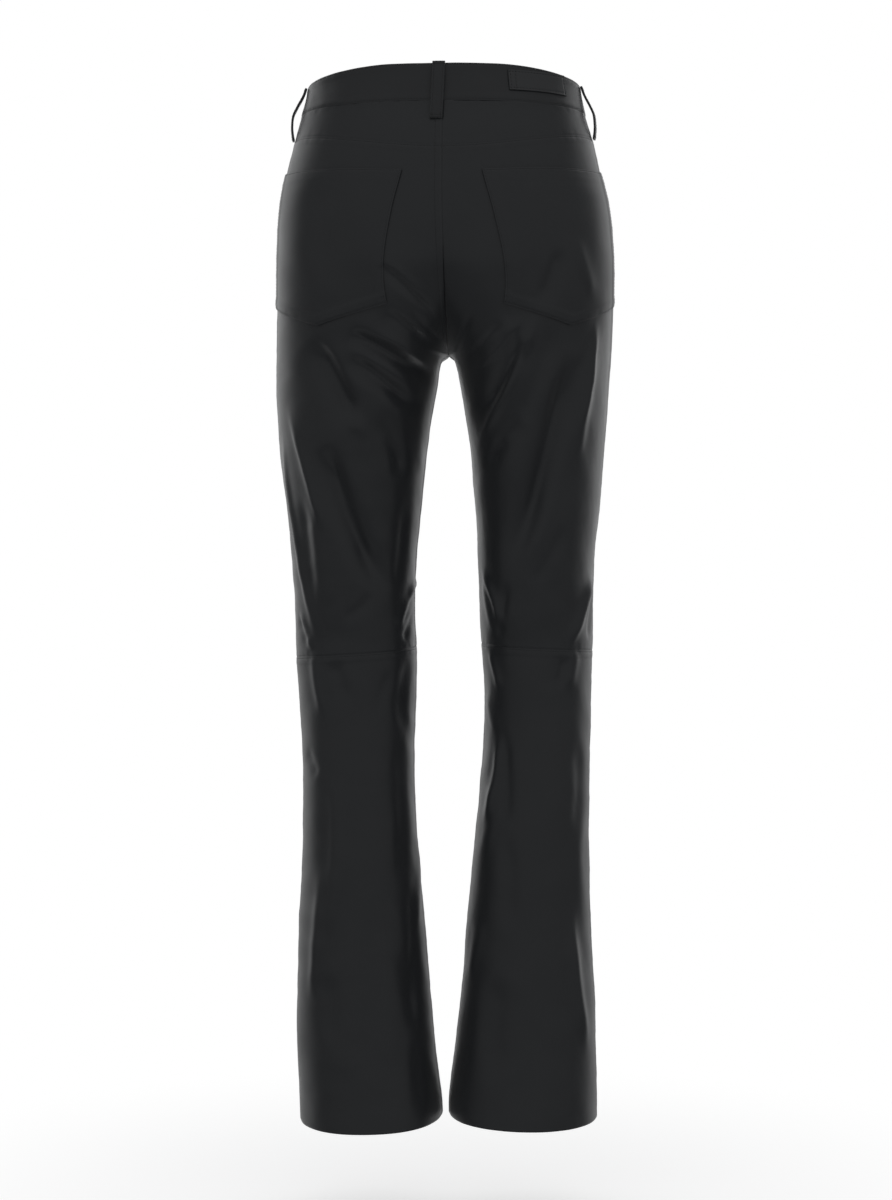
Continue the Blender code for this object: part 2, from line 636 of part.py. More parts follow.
# Belt loops: folded strips. Stand is how far the inner face stands off the body's section.
LOOP_THICK = 2.4
LOOP_WIDE = 12.7
LOOP_LOOK = 0.02  # how far to each side along the ring a loop looks for its own direction
LoopPoint = namedtuple("LoopPoint", "z stand")
FLAT_LOOP = [(9.5, 1.1), (0, 2.0), (-14, 2.6), (-30, 2.5), (-42, 1.4), (-48, 0.6)]
PROUD_LOOP = [(-1, 1.1), (-9, 2.8), (-20, 6.0), (-30, 7.8), (-40, 6.2), (-48, 3.6), (-54.5, 0.7)]
FRONT_LOOP = [(-2.5, 1.1), (-12, 2.1), (-25, 2.6), (-36, 2.4), (-46, 1.3), (-51, 0.6)]
Loop = namedtuple("Loop", "name turn skew path")
LOOPS = [
    Loop("belt_loop_back", 0.022, -2.0, FLAT_LOOP),
    Loop("belt_loop_side_left", 1.0, 0.0, PROUD_LOOP),
    Loop("belt_loop_side_right", -1.0, 0.0, PROUD_LOOP),
    Loop("belt_loop_front_left", 1.62, 0.0, FRONT_LOOP),
    Loop("belt_loop_front_right", -1.62, 0.0, FRONT_LOOP),
]


def belt_loop(loop, leather):
    """A strip swept down its path, skewed along the band by so many millimetres."""
    path = [LoopPoint(*point) for point in loop.path]
    ahead, _ = around(loop.turn + LOOP_LOOK, BAND_BOTTOM_Z)
    behind, _ = around(loop.turn - LOOP_LOOK, BAND_BOTTOM_Z)
    across = (ahead - behind) / np.linalg.norm(ahead - behind)
    out = np.cross(across, [0, 0, 1]) * -1.0
    if np.dot(out, behind) < 0:
        out = -out
    centre = []
    for point in path:
        share = (path[0].z - point.z) / (path[0].z - path[-1].z)
        base, _ = around(loop.turn, point.z)
        centre.append(base + out * (point.stand + 0.5 * LOOP_THICK) - across * loop.skew * share)
    centre = np.array(centre)
    run = np.gradient(centre, axis=0)
    face_out = np.cross(across, run)
    face_out /= np.linalg.norm(face_out, axis=1, keepdims=True)
    face_out *= np.sign(face_out @ out)[:, None]
    sides = np.array([-0.5, 0.0, 0.5])[None, :, None] * LOOP_WIDE * across
    outer = centre[:, None] + sides + 0.5 * LOOP_THICK * face_out[:, None]
    wall(loop.name, outer, outer - LOOP_THICK * face_out[:, None], leather)


# Fly: the outer piece that covers the closure, on the wearer's right of the centre front.
FLY_WIDE, FLY_LOW_Z, FLY_THICK = 36.0, -165.0, 1.2
FLY_LEVELS = [-30.5, -50, -70, -90, -110, -128, -142, -152, -159]
FLY_STRAIGHT_Z = -110.0
FLY_COLUMNS = 5


def fly(leather):
    front = PANELS[RIGHT, FRONT]
    s_rows, z_rows = [], []
    for level in FLY_LEVELS:
        t = max(0.0, (FLY_STRAIGHT_Z - level) / (FLY_STRAIGHT_Z - FLY_LOW_Z))
        s_row = 1 - FLY_WIDE * math.sqrt(1 - t * t) / front.length(level) * (1 - spread(FLY_COLUMNS))
        s_rows.append(s_row)
        z_rows.append([panel_row(RIGHT, FRONT, level, a) for a in s_row])
    lift = LAID_GAP + FLY_THICK
    sew("fly", front, s_rows, z_rows, ("top",), leather, lift, FLY_THICK)


# Waist button: a domed cap, turned about its own axis, on the end of the band that laps over.
BUTTON_SIDES = 20
BUTTON_Z = -21.0
ButtonRing = namedtuple("ButtonRing", "radius out")
BUTTON_CROWN = 0.1  # the middle of the dome over its last ring
BUTTON_RINGS = [ButtonRing(8.0, 0.0), ButtonRing(8.5, 1.0), ButtonRing(7.6, 2.2), ButtonRing(4.4, 2.9)]


def waist_button(metal):
    base, normal = around(-2.0, BUTTON_Z, BAND_PROUD + OVERLAP_LIFT + SEAM_GAP)
    across = np.cross(normal, [0, 0, 1])
    across /= np.linalg.norm(across)
    up = np.cross(across, normal)
    points = [base, base + normal * (BUTTON_RINGS[-1].out + BUTTON_CROWN)]
    for ring in BUTTON_RINGS:
        for k in range(BUTTON_SIDES):
            turn = 2 * math.pi * k / BUTTON_SIDES
            side = across * math.cos(turn) + up * math.sin(turn)
            points.append(base + normal * ring.out + side * ring.radius)
    faces = []
    for k in range(BUTTON_SIDES):
        nxt = (k + 1) % BUTTON_SIDES
        faces.append([0, 2 + nxt, 2 + k])
        for r in range(len(BUTTON_RINGS) - 1):
            low, high = 2 + r * BUTTON_SIDES, 2 + (r + 1) * BUTTON_SIDES
            faces.append([low + k, low + nxt, high + nxt, high + k])
        last = 2 + (len(BUTTON_RINGS) - 1) * BUTTON_SIDES
        faces.append([last + k, last + nxt, 1])
    closed_mesh("waist_button", points, faces, metal)


def main():
    for obj in list(bpy.data.objects):
        bpy.data.objects.remove(obj, do_unlink=True)
    colour = (0.018, 0.021, 0.024)
    leather = {
        name: material(f"{name}_leather", colour, roughness)
        for name, roughness in (("panel", 0.36), ("trim", 0.4), ("patch", 0.32))
    }
    metal = material("button_metal", (0.23, 0.22, 0.21), 0.35, 1.0)
    for side, tag in ((LEFT, "left"), (RIGHT, "right")):
        panel_pieces(side, tag, leather["panel"])
        pocket_facing(side, tag, leather["panel"])
        back_pocket(side, tag, leather["panel"])
    waistband(leather["trim"])
    waistband_patch(leather["patch"])
    for loop in LOOPS:
        belt_loop(loop, leather["trim"])
    fly(leather["trim"])
    waist_button(metal)


main()
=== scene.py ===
"""Looks of the leather trousers: fine shells on the forms of the solids, stitching and leather.

The tables of sizes repeat the part's own, in millimetres, so each shell follows its solid's form.
An s runs along a section from the side seam, 0, to the centre seam or inseam, 1.
"""

import math
from collections import namedtuple

import bmesh
import bpy
import numpy as np
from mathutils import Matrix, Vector


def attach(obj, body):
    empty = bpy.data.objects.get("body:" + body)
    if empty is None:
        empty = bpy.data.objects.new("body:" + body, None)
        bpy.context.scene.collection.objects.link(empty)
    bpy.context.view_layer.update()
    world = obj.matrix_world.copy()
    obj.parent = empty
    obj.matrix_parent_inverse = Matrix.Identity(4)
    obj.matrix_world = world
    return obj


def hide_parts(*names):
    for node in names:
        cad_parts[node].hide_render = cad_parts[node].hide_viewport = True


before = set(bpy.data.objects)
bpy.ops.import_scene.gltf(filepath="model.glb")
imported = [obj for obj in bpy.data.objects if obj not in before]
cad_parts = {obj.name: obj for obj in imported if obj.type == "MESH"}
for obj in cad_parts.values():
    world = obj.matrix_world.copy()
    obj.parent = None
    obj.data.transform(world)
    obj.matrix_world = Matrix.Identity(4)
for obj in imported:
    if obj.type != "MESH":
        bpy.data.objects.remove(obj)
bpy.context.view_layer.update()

MM = 0.001
LEFT, RIGHT = 1, -1
BACK, FRONT = 1, -1
TAGS = {LEFT: "left", RIGHT: "right"}
PANEL_SEEDS = {LEFT: 3, RIGHT: 1}

# ---------------------------------------------------------------- sizes shared with the solids

LEATHER = 1.4  # the walls of the solids' panels
LAID_GAP = 0.6  # between a panel and what lies on it

# Heights
CROTCH_Z = -271.0
BAND_BOTTOM_Z = -30.0
BAND_TOP_SIDE_Z = 1.0
BAND_TOP_BACK_RISE = 7.5
BAND_RISE_SHARE = 0.7
BAND_FRONT_DIP = 7.0
YOKE_SIDE_Z, YOKE_CENTRE_Z = -55.0, -75.0
YOKE_FADE = 110.0  # below this depth under the yoke the rows run level
CENTRE_SHIFT = -3.0  # the crotch lies this far to the wearer's right
CENTRE_SHIFT_TOP, CENTRE_SHIFT_END = -110.0, -250.0


def table(kind, *rows):
    """A table of one kind of row."""
    return [kind(*row) for row in rows]


# How far out each side reaches, how deep the section is, how square (2 is an ellipse), and where each
# half's tube is deepest, counted from the middle plane.
Section = namedtuple("Section", "z left_out right_out left_axis right_axis back front square")
SECTIONS = table(
    Section,
    (20, 139.0, 135.0, 0.0, 0.0, 89, -82, 2.25), (0, 140.0, 136.0, 0.0, 0.0, 92, -86, 2.25),
    (-30, 146.5, 142.0, 0.0, 0.0, 98, -91, 2.3), (-61, 154.5, 151.0, 5.0, 5.0, 106, -97, 2.3),
    (-92, 162.0, 158.0, 12.0, 12.0, 113, -102, 2.3), (-122, 167.5, 165.5, 20.0, 20.0, 118, -105, 2.3),
    (-153, 169.8, 169.2, 30.0, 30.0, 120, -107, 2.3), (-183, 170.6, 170.6, 41.0, 41.0, 119, -108, 2.3),
    (-214, 171.0, 170.4, 52.5, 53.0, 114, -108, 2.25), (-245, 172.0, 169.4, 63.5, 64.5, 107, -107, 2.2),
    (-271, 172.6, 168.0, 71.5, 73.0, 101, -106, 2.15), (-301, 172.5, 166.0, 79.0, 80.5, 96, -104, 2.15),
    (-347, 170.5, 162.5, 87.0, 87.5, 88, -99, 2.15), (-393, 166.5, 158.5, 92.5, 91.5, 81, -94, 2.15),
    (-438, 161.5, 155.0, 94.3, 92.9, 75, -88, 2.15), (-484, 157.0, 151.0, 94.0, 92.0, 69, -82, 2.15),
    (-530, 153.5, 149.5, 93.0, 92.0, 63, -76, 2.15), (-576, 152.0, 148.5, 91.5, 92.8, 58, -71, 2.15),
    (-622, 149.5, 147.5, 90.3, 93.3, 58, -66, 2.1), (-668, 146.5, 146.5, 89.4, 92.3, 60, -62, 2.1),
    (-714, 145.5, 145.5, 88.7, 90.1, 63, -60, 2.1), (-760, 145.5, 145.5, 87.4, 87.5, 65, -60, 2.1),
    (-806, 147.5, 146.5, 86.6, 85.8, 67, -61, 2.1), (-851, 150.0, 147.5, 85.6, 84.5, 68, -62, 2.1),
    (-943, 151.5, 151.5, 82.5, 82.2, 72, -66, 2.1), (-1042, 148.0, 153.5, 75.2, 78.3, 77, -70, 2.1),
    (-1060, 147.5, 153.5, 74.8, 78.2, 78, -71, 2.1),
)

# Below the crotch: how far the inner side of each leg lies from the middle plane.
Inner = namedtuple("Inner", "z left_in right_in")
INNERS = table(
    Inner,
    (-271, -3.0, 3.0), (-274.5, 3.4, 8.0), (-279, 5.4, 10.0), (-286, 7.0, 11.9), (-301, 8.8, 14.6),
    (-331, 14.6, 20.0), (-362, 18.8, 24.4), (-393, 22.2, 27.0), (-438, 27.0, 30.8), (-484, 31.0, 32.8),
    (-530, 32.8, 34.6), (-576, 30.6, 37.2), (-622, 31.2, 39.2), (-668, 32.2, 38.2), (-714, 31.8, 34.8),
    (-760, 29.2, 29.4), (-806, 25.8, 25.2), (-851, 21.2, 21.6), (-897, 17.8, 17.6), (-943, 13.6, 12.8),
    (-989, 9.4, 7.8), (-1035, 3.0, 3.0), (-1060, 2.0, 3.0),
)

# Above the crotch: how far the inner side of each half's tube has closed on the middle plane, from a
# whole ring, 0, to its own tube, 1.
Rise = namedtuple("Rise", "z closed")
RISES = table(
    Rise,
    (20, 0.0), (-110, 0.0), (-150, 0.08), (-200, 0.25), (-230, 0.42), (-250, 0.58), (-262, 0.76),
    (-271, 1.0),
)

# The side seam lies this many degrees behind the widest point.
SideSeam = namedtuple("SideSeam", "z behind")
SIDE_SEAMS = table(
    SideSeam,
    (20, 5.0), (-60, 6.5), (-120, 9.0), (-230, 9.0), (-340, 4.0), (-500, 1.0), (-1060, 1.0),
)

# Where the knee seam and the hem run.
LegEdge = namedtuple("LegEdge", "outer inner dip")
KNEE_SEAMS = {LEFT: LegEdge(-578.0, -567.0, 0.0), RIGHT: LegEdge(-571.0, -564.0, 0.0)}
HEMS = {LEFT: LegEdge(-1048.0, -1042.0, 4.0), RIGHT: LegEdge(-1044.0, -1040.0, 3.5)}
LEG_EDGE_POWER = 1.5

# The largest folds, by leg and face. Each runs through three (x, z) points as seen from behind or from
# in front; x counts from the middle plane towards that leg's side. Rise is out, minus is in. A row
# holds x0, z0, x1, z1, x2, z2, width and rise.
Fold = namedtuple("Fold", "leg face x0 z0 x1 z1 x2 z2 width rise")
FOLDS = {
    (LEFT, BACK): [
        # drag lines from the seat and crotch
        (58, -238, 37, -255, 4, -268, 7, -2.4), (88, -245, 48, -264, 10, -284, 8, 2.2),
        (90, -258, 46, -280, 10, -298, 9, -3.4), (93, -279, 57, -302, 27, -323, 9, -3.0),
        (139, -262, 111, -309, 86, -349, 17, -4.2), (67, -344, 45, -376, 57, -402, 9, -2.5),
        (120, -367, 97, -431, 51, -518, 14, -4.2), (158, -322, 131, -411, 127, -558, 12, 4.2),
        # knee and calf
        (149, -536, 142, -550, 134, -563, 7, -3.0), (35, -510, 40, -527, 46, -543, 7, -2.6),
        (32, -569, 43, -621, 33, -656, 9, -3.0), (139, -668, 133, -684, 125, -696, 7, -2.2),
        (32, -750, 27, -811, 33, -871, 9, 2.6), (112, -777, 124, -830, 128, -908, 14, 3.0),
        (41, -865, 36, -910, 27, -960, 9, -2.5),
    ],
    (RIGHT, BACK): [
        # drag lines from the seat and crotch
        (93, -234, 70, -299, 31, -369, 11, 4.2), (78, -252, 52, -300, 24, -345, 10, -3.2),
        (72, -246, 52, -262, 18, -288, 7, 2.6), (123, -291, 100, -372, 69, -479, 14, -4.2),
        (152, -240, 147, -292, 136, -350, 12, 3.2), (60, -357, 51, -371, 43, -386, 7, -2.2),
        # knee and calf
        (38, -490, 43, -525, 52, -555, 8, 2.8), (149, -493, 139, -530, 132, -566, 9, 3.2),
        (124, -573, 112, -592, 112, -612, 9, -2.6), (41, -612, 46, -635, 53, -656, 8, 2.2),
        (40, -700, 47, -735, 34, -792, 10, 3.0), (142, -726, 134, -780, 146, -866, 12, 3.0),
        (130, -850, 134, -910, 147, -988, 11, 2.6),
    ],
    (LEFT, FRONT): [
        (14, -262, 58, -262, 104, -240, 9, -2.6), (22, -288, 62, -304, 112, -300, 10, -3.0),
        (150, -330, 118, -405, 66, -478, 14, -3.8), (134, -540, 98, -556, 58, -546, 9, -3.0),
        (136, -596, 98, -612, 60, -598, 9, -2.6), (62, -700, 84, -800, 76, -905, 14, 2.6),
    ],
    (RIGHT, FRONT): [
        (16, -256, 54, -254, 96, -228, 9, -2.6), (26, -296, 68, -316, 118, -318, 10, -3.2),
        (144, -356, 112, -430, 70, -500, 14, -3.6), (130, -532, 92, -546, 56, -536, 9, -2.8),
        (132, -604, 96, -618, 62, -608, 9, -2.4), (104, -720, 88, -815, 100, -930, 14, 2.6),
    ],
}


def folds_of(by_face):
    """The folds of a table that goes by leg and face."""
    return [Fold(*place, *row) for place, rows in by_face.items() for row in rows]


def smooth(t):
    """A soft step from 0 to 1."""
    t = np.clip(t, 0.0, 1.0)
    return t * t * (3.0 - 2.0 * t)


def column(rows, name):
    """A smooth curve through one column of a table whose z falls from row to row."""
    z = -np.array([row.z for row in rows])
    v = np.array([getattr(row, name) for row in rows])
    step = np.diff(z)
    slope = np.diff(v) / step
    at = np.zeros(len(z))
    same = slope[:-1] * slope[1:] > 0
    both = slope[:-1] + slope[1:]
    at[1:-1] = np.where(same, 2.0 * slope[:-1] * slope[1:] / np.where(same, both, 1.0), 0.0)
    at[0], at[-1] = slope[0], slope[-1]

    def value(height):
        h = np.clip(-np.asarray(height, float), z[0], z[-1])
        i = np.clip(np.searchsorted(z, h) - 1, 0, len(step) - 1)
        t = (h - z[i]) / step[i]
        return (
            v[i] * (1 + 2 * t) * (1 - t) ** 2
            + at[i] * step[i] * t * (1 - t) ** 2
            + v[i + 1] * t * t * (3 - 2 * t)
            + at[i + 1] * step[i] * t * t * (t - 1)
        )

    return value


OUT = {LEFT: column(SECTIONS, "left_out"), RIGHT: column(SECTIONS, "right_out")}
AXIS = {LEFT: column(SECTIONS, "left_axis"), RIGHT: column(SECTIONS, "right_axis")}
IN = {LEFT: column(INNERS, "left_in"), RIGHT: column(INNERS, "right_in")}
DEPTH = {BACK: column(SECTIONS, "back"), FRONT: column(SECTIONS, "front")}
SQUARE = column(SECTIONS, "square")
CLOSED = column(RISES, "closed")
SEAM_BEHIND = column(SIDE_SEAMS, "behind")


def centre_x(z):
    """Where the middle plane lies, on the wearer's left."""
    return CENTRE_SHIFT * smooth((CENTRE_SHIFT_TOP - z) / (CENTRE_SHIFT_TOP - CENTRE_SHIFT_END))


# ---------------------------------------------------------------- the forms of the solids

ARC_ANGLES = 721
ARC_SAMPLES = 301
LEVEL_TOP, LEVEL_LOW, LEVEL_STEP = 20.0, -1063.0, 1.0
CROTCH_REACH, CROTCH_STEP = 14.0, 0.25


def table_levels():
    """Heights of the kept sections, close together by the crotch."""
    even = np.arange(LEVEL_TOP, LEVEL_LOW, -LEVEL_STEP)
    close = CROTCH_Z + np.arange(CROTCH_REACH, -CROTCH_REACH, -CROTCH_STEP)
    return np.unique(np.round(np.concatenate([even, close]), 4))[::-1]


LEVELS = table_levels()

# The change of reach at the crotch is eased over twice this height, but stays sharp by the seam.
CROTCH_SOFT, CROTCH_SHARP, EASE_SAMPLES = 26.0, 6, 27
# Within this height of the crotch a panel's directions are blended, wholly up to this share of a row.
CROTCH_BLEND, BLEND_SHARE = 6.0, 0.82
STEADY_REACH, STEADY_SAMPLES = 18.0, 25  # a row's steady length is its mean over twice this height
RING_NUDGE, HEIGHT_NUDGE = 0.01, 1.0  # steps that a direction on the waist's ring is measured over


def reach_inward(side, z):
    """How far a half's tube reaches from its deepest line towards the middle plane."""
    axis = AXIS[side](z)
    closed = CLOSED(z)
    above = (OUT[side](z) - axis) * (1 - closed) + (axis - side * centre_x(z)) * closed
    return np.where(z > CROTCH_Z, above, axis - IN[side](z))


def sections(side, face, z):
    """One face's half sections at heights z, each a row of points from the side seam inwards.

    Away from the seam the sudden change of reach at the crotch is eased, rounder than in the solids."""
    axis = AXIS[side](z)
    power = SQUARE(z)
    reach_out = OUT[side](z) - axis
    to_middle = axis - side * centre_x(z)
    reach_in = reach_inward(side, z)
    around_z = z + np.linspace(-CROTCH_SOFT, CROTCH_SOFT, EASE_SAMPLES)[:, None]
    eased = reach_inward(side, around_z).mean(axis=0)
    cut = np.clip(to_middle / reach_in, 0.0, 1.0)
    end = np.where(z > CROTCH_Z, np.arccos(-(cut ** (power / 2.0))), math.pi)
    start = np.radians(SEAM_BEHIND(z))
    angle = start[:, None] + (face * end - start)[:, None] * np.linspace(0, 1, ARC_ANGLES)
    c, s = np.cos(angle), np.sin(angle)
    root = 2.0 / power[:, None]
    nearness = np.abs(c) / np.abs(np.cos(end))[:, None]
    inward = eased[:, None] + (reach_in - eased)[:, None] * nearness**CROTCH_SHARP
    reach = np.where(c > 0, reach_out[:, None], inward)
    x = axis[:, None] + reach * np.sign(c) * np.abs(c) ** root
    back, front = DEPTH[BACK](z)[:, None], DEPTH[FRONT](z)[:, None]
    y = 0.5 * (back + front) + 0.5 * (back - front) * np.sign(s) * np.abs(s) ** root
    return np.stack([side * x, y], axis=-1)


def unit(vectors):
    return vectors / np.linalg.norm(vectors, axis=-1, keepdims=True)


class Panel:
    """One face of one half as a table of points and outward directions, read at any (s, z)."""

    def __init__(self, side, face):
        self.side, self.face = side, face
        points = sections(side, face, LEVELS)
        step = np.linalg.norm(np.diff(points, axis=1), axis=2)
        run = np.concatenate([np.zeros((len(LEVELS), 1)), np.cumsum(step, axis=1)], axis=1)
        self.lengths = run[:, -1]
        even = np.linspace(0, 1, ARC_SAMPLES)
        place = np.empty((len(LEVELS), ARC_SAMPLES, 3))
        for row in range(len(LEVELS)):
            want = even * run[row, -1]
            place[row, :, 0] = np.interp(want, run[row], points[row, :, 0])
            place[row, :, 1] = np.interp(want, run[row], points[row, :, 1])
        place[..., 2] = LEVELS[:, None]
        along = np.gradient(place, axis=1)
        down = np.gradient(place, axis=0)
        normal = unit(np.cross(down, along) * side * face)
        # The rows slide along the cloth at the crotch, which tilts these directions, so all but those
        # by the seam are blended from just above and just below.
        near = np.flatnonzero(np.abs(LEVELS - CROTCH_Z) < CROTCH_BLEND)
        high, low = LEVELS[near[0]], LEVELS[near[-1]]
        share = ((high - LEVELS[near]) / (high - low))[:, None, None]
        blended = normal[near[0]] * (1 - share) + normal[near[-1]] * share
        held = 1 - smooth((even - BLEND_SHARE) / (1 - BLEND_SHARE))[:, None]
        normal[near] = unit(normal[near] * (1 - held) + blended * held)
        self.table = np.concatenate([place, normal], axis=2)

    def length(self, z):
        return np.interp(-np.asarray(z, float), -LEVELS, self.lengths)

    def steady_length(self, z):
        """The mean length over some height, without the jump at the crotch."""
        around_z = z[:, None] + np.linspace(-STEADY_REACH, STEADY_REACH, STEADY_SAMPLES)
        return self.length(around_z).mean(axis=1)

    def read(self, s, z):
        """Points and the unit directions out of the cloth, before any folds."""
        row = np.interp(-z, -LEVELS, np.arange(len(LEVELS)))
        col = np.clip(s, 0.0, 1.0) * (ARC_SAMPLES - 1)
        r = np.clip(row.astype(int), 0, len(LEVELS) - 2)
        c = np.clip(col.astype(int), 0, ARC_SAMPLES - 2)
        down, along = (row - r)[..., None], (col - c)[..., None]
        upper = self.table[r, c] * (1 - along) + self.table[r, c + 1] * along
        lower = self.table[r + 1, c] * (1 - along) + self.table[r + 1, c + 1] * along
        both = upper * (1 - down) + lower * down
        return both[..., :3], unit(both[..., 3:])

    def depth_at(self, x, z):
        """The cloth's y at a distance x from the middle plane."""
        row = int(round(float(np.interp(-z, -LEVELS, np.arange(len(LEVELS))))))
        across = self.table[row, ::-1, :2] * [self.side, 1.0]
        return np.interp(x, across[:, 0], across[:, 1])


PANELS = {(side, face): Panel(side, face) for side in (LEFT, RIGHT) for face in (BACK, FRONT)}


def ring_points(g, z):
    """Points on the waist's ring: g runs from 0 at the centre back to 2 at the centre front, and is
    positive on the wearer's left. Past 2 it goes on round."""
    g = np.where(np.abs(g) > 2, g - np.copysign(4.0, g), g)
    point = np.zeros((*np.shape(g), 3))
    for side in (LEFT, RIGHT):
        for face in (BACK, FRONT):
            here = ((g >= 0) == (side == LEFT)) & ((np.abs(g) <= 1) == (face == BACK))
            s = 1 - np.abs(g[here]) if face == BACK else np.abs(g[here]) - 1
            point[here] = PANELS[side, face].read(s, z[here])[0]
    return point


def around(g, z):
    """Points on the waist's ring and the unit directions out of it."""
    g, z = np.broadcast_arrays(np.asarray(g, float), np.asarray(z, float))
    along = ring_points(g + RING_NUDGE, z) - ring_points(g - RING_NUDGE, z)
    down = ring_points(g, z - HEIGHT_NUDGE) - ring_points(g, z + HEIGHT_NUDGE)
    return ring_points(g, z), unit(np.cross(along, down))


# ---------------------------------------------------------------- folds and creases

FOLD_STEPS = 20
FOLD_TAPER = 0.3  # share of a fold's length over which each end dies away
FOLD_REACH = 3.2  # widths past which a fold isn't felt
LEAN = 0.3  # a ridge is steeper on its lower side, a trough on its upper side
CREASE_DEPTH, CREASE_WIDTH = 1.35, 1.1
SHOULDER_RISE = 0.6  # share of a large fold's rise in its soft shoulders: the crisp creases do the rest

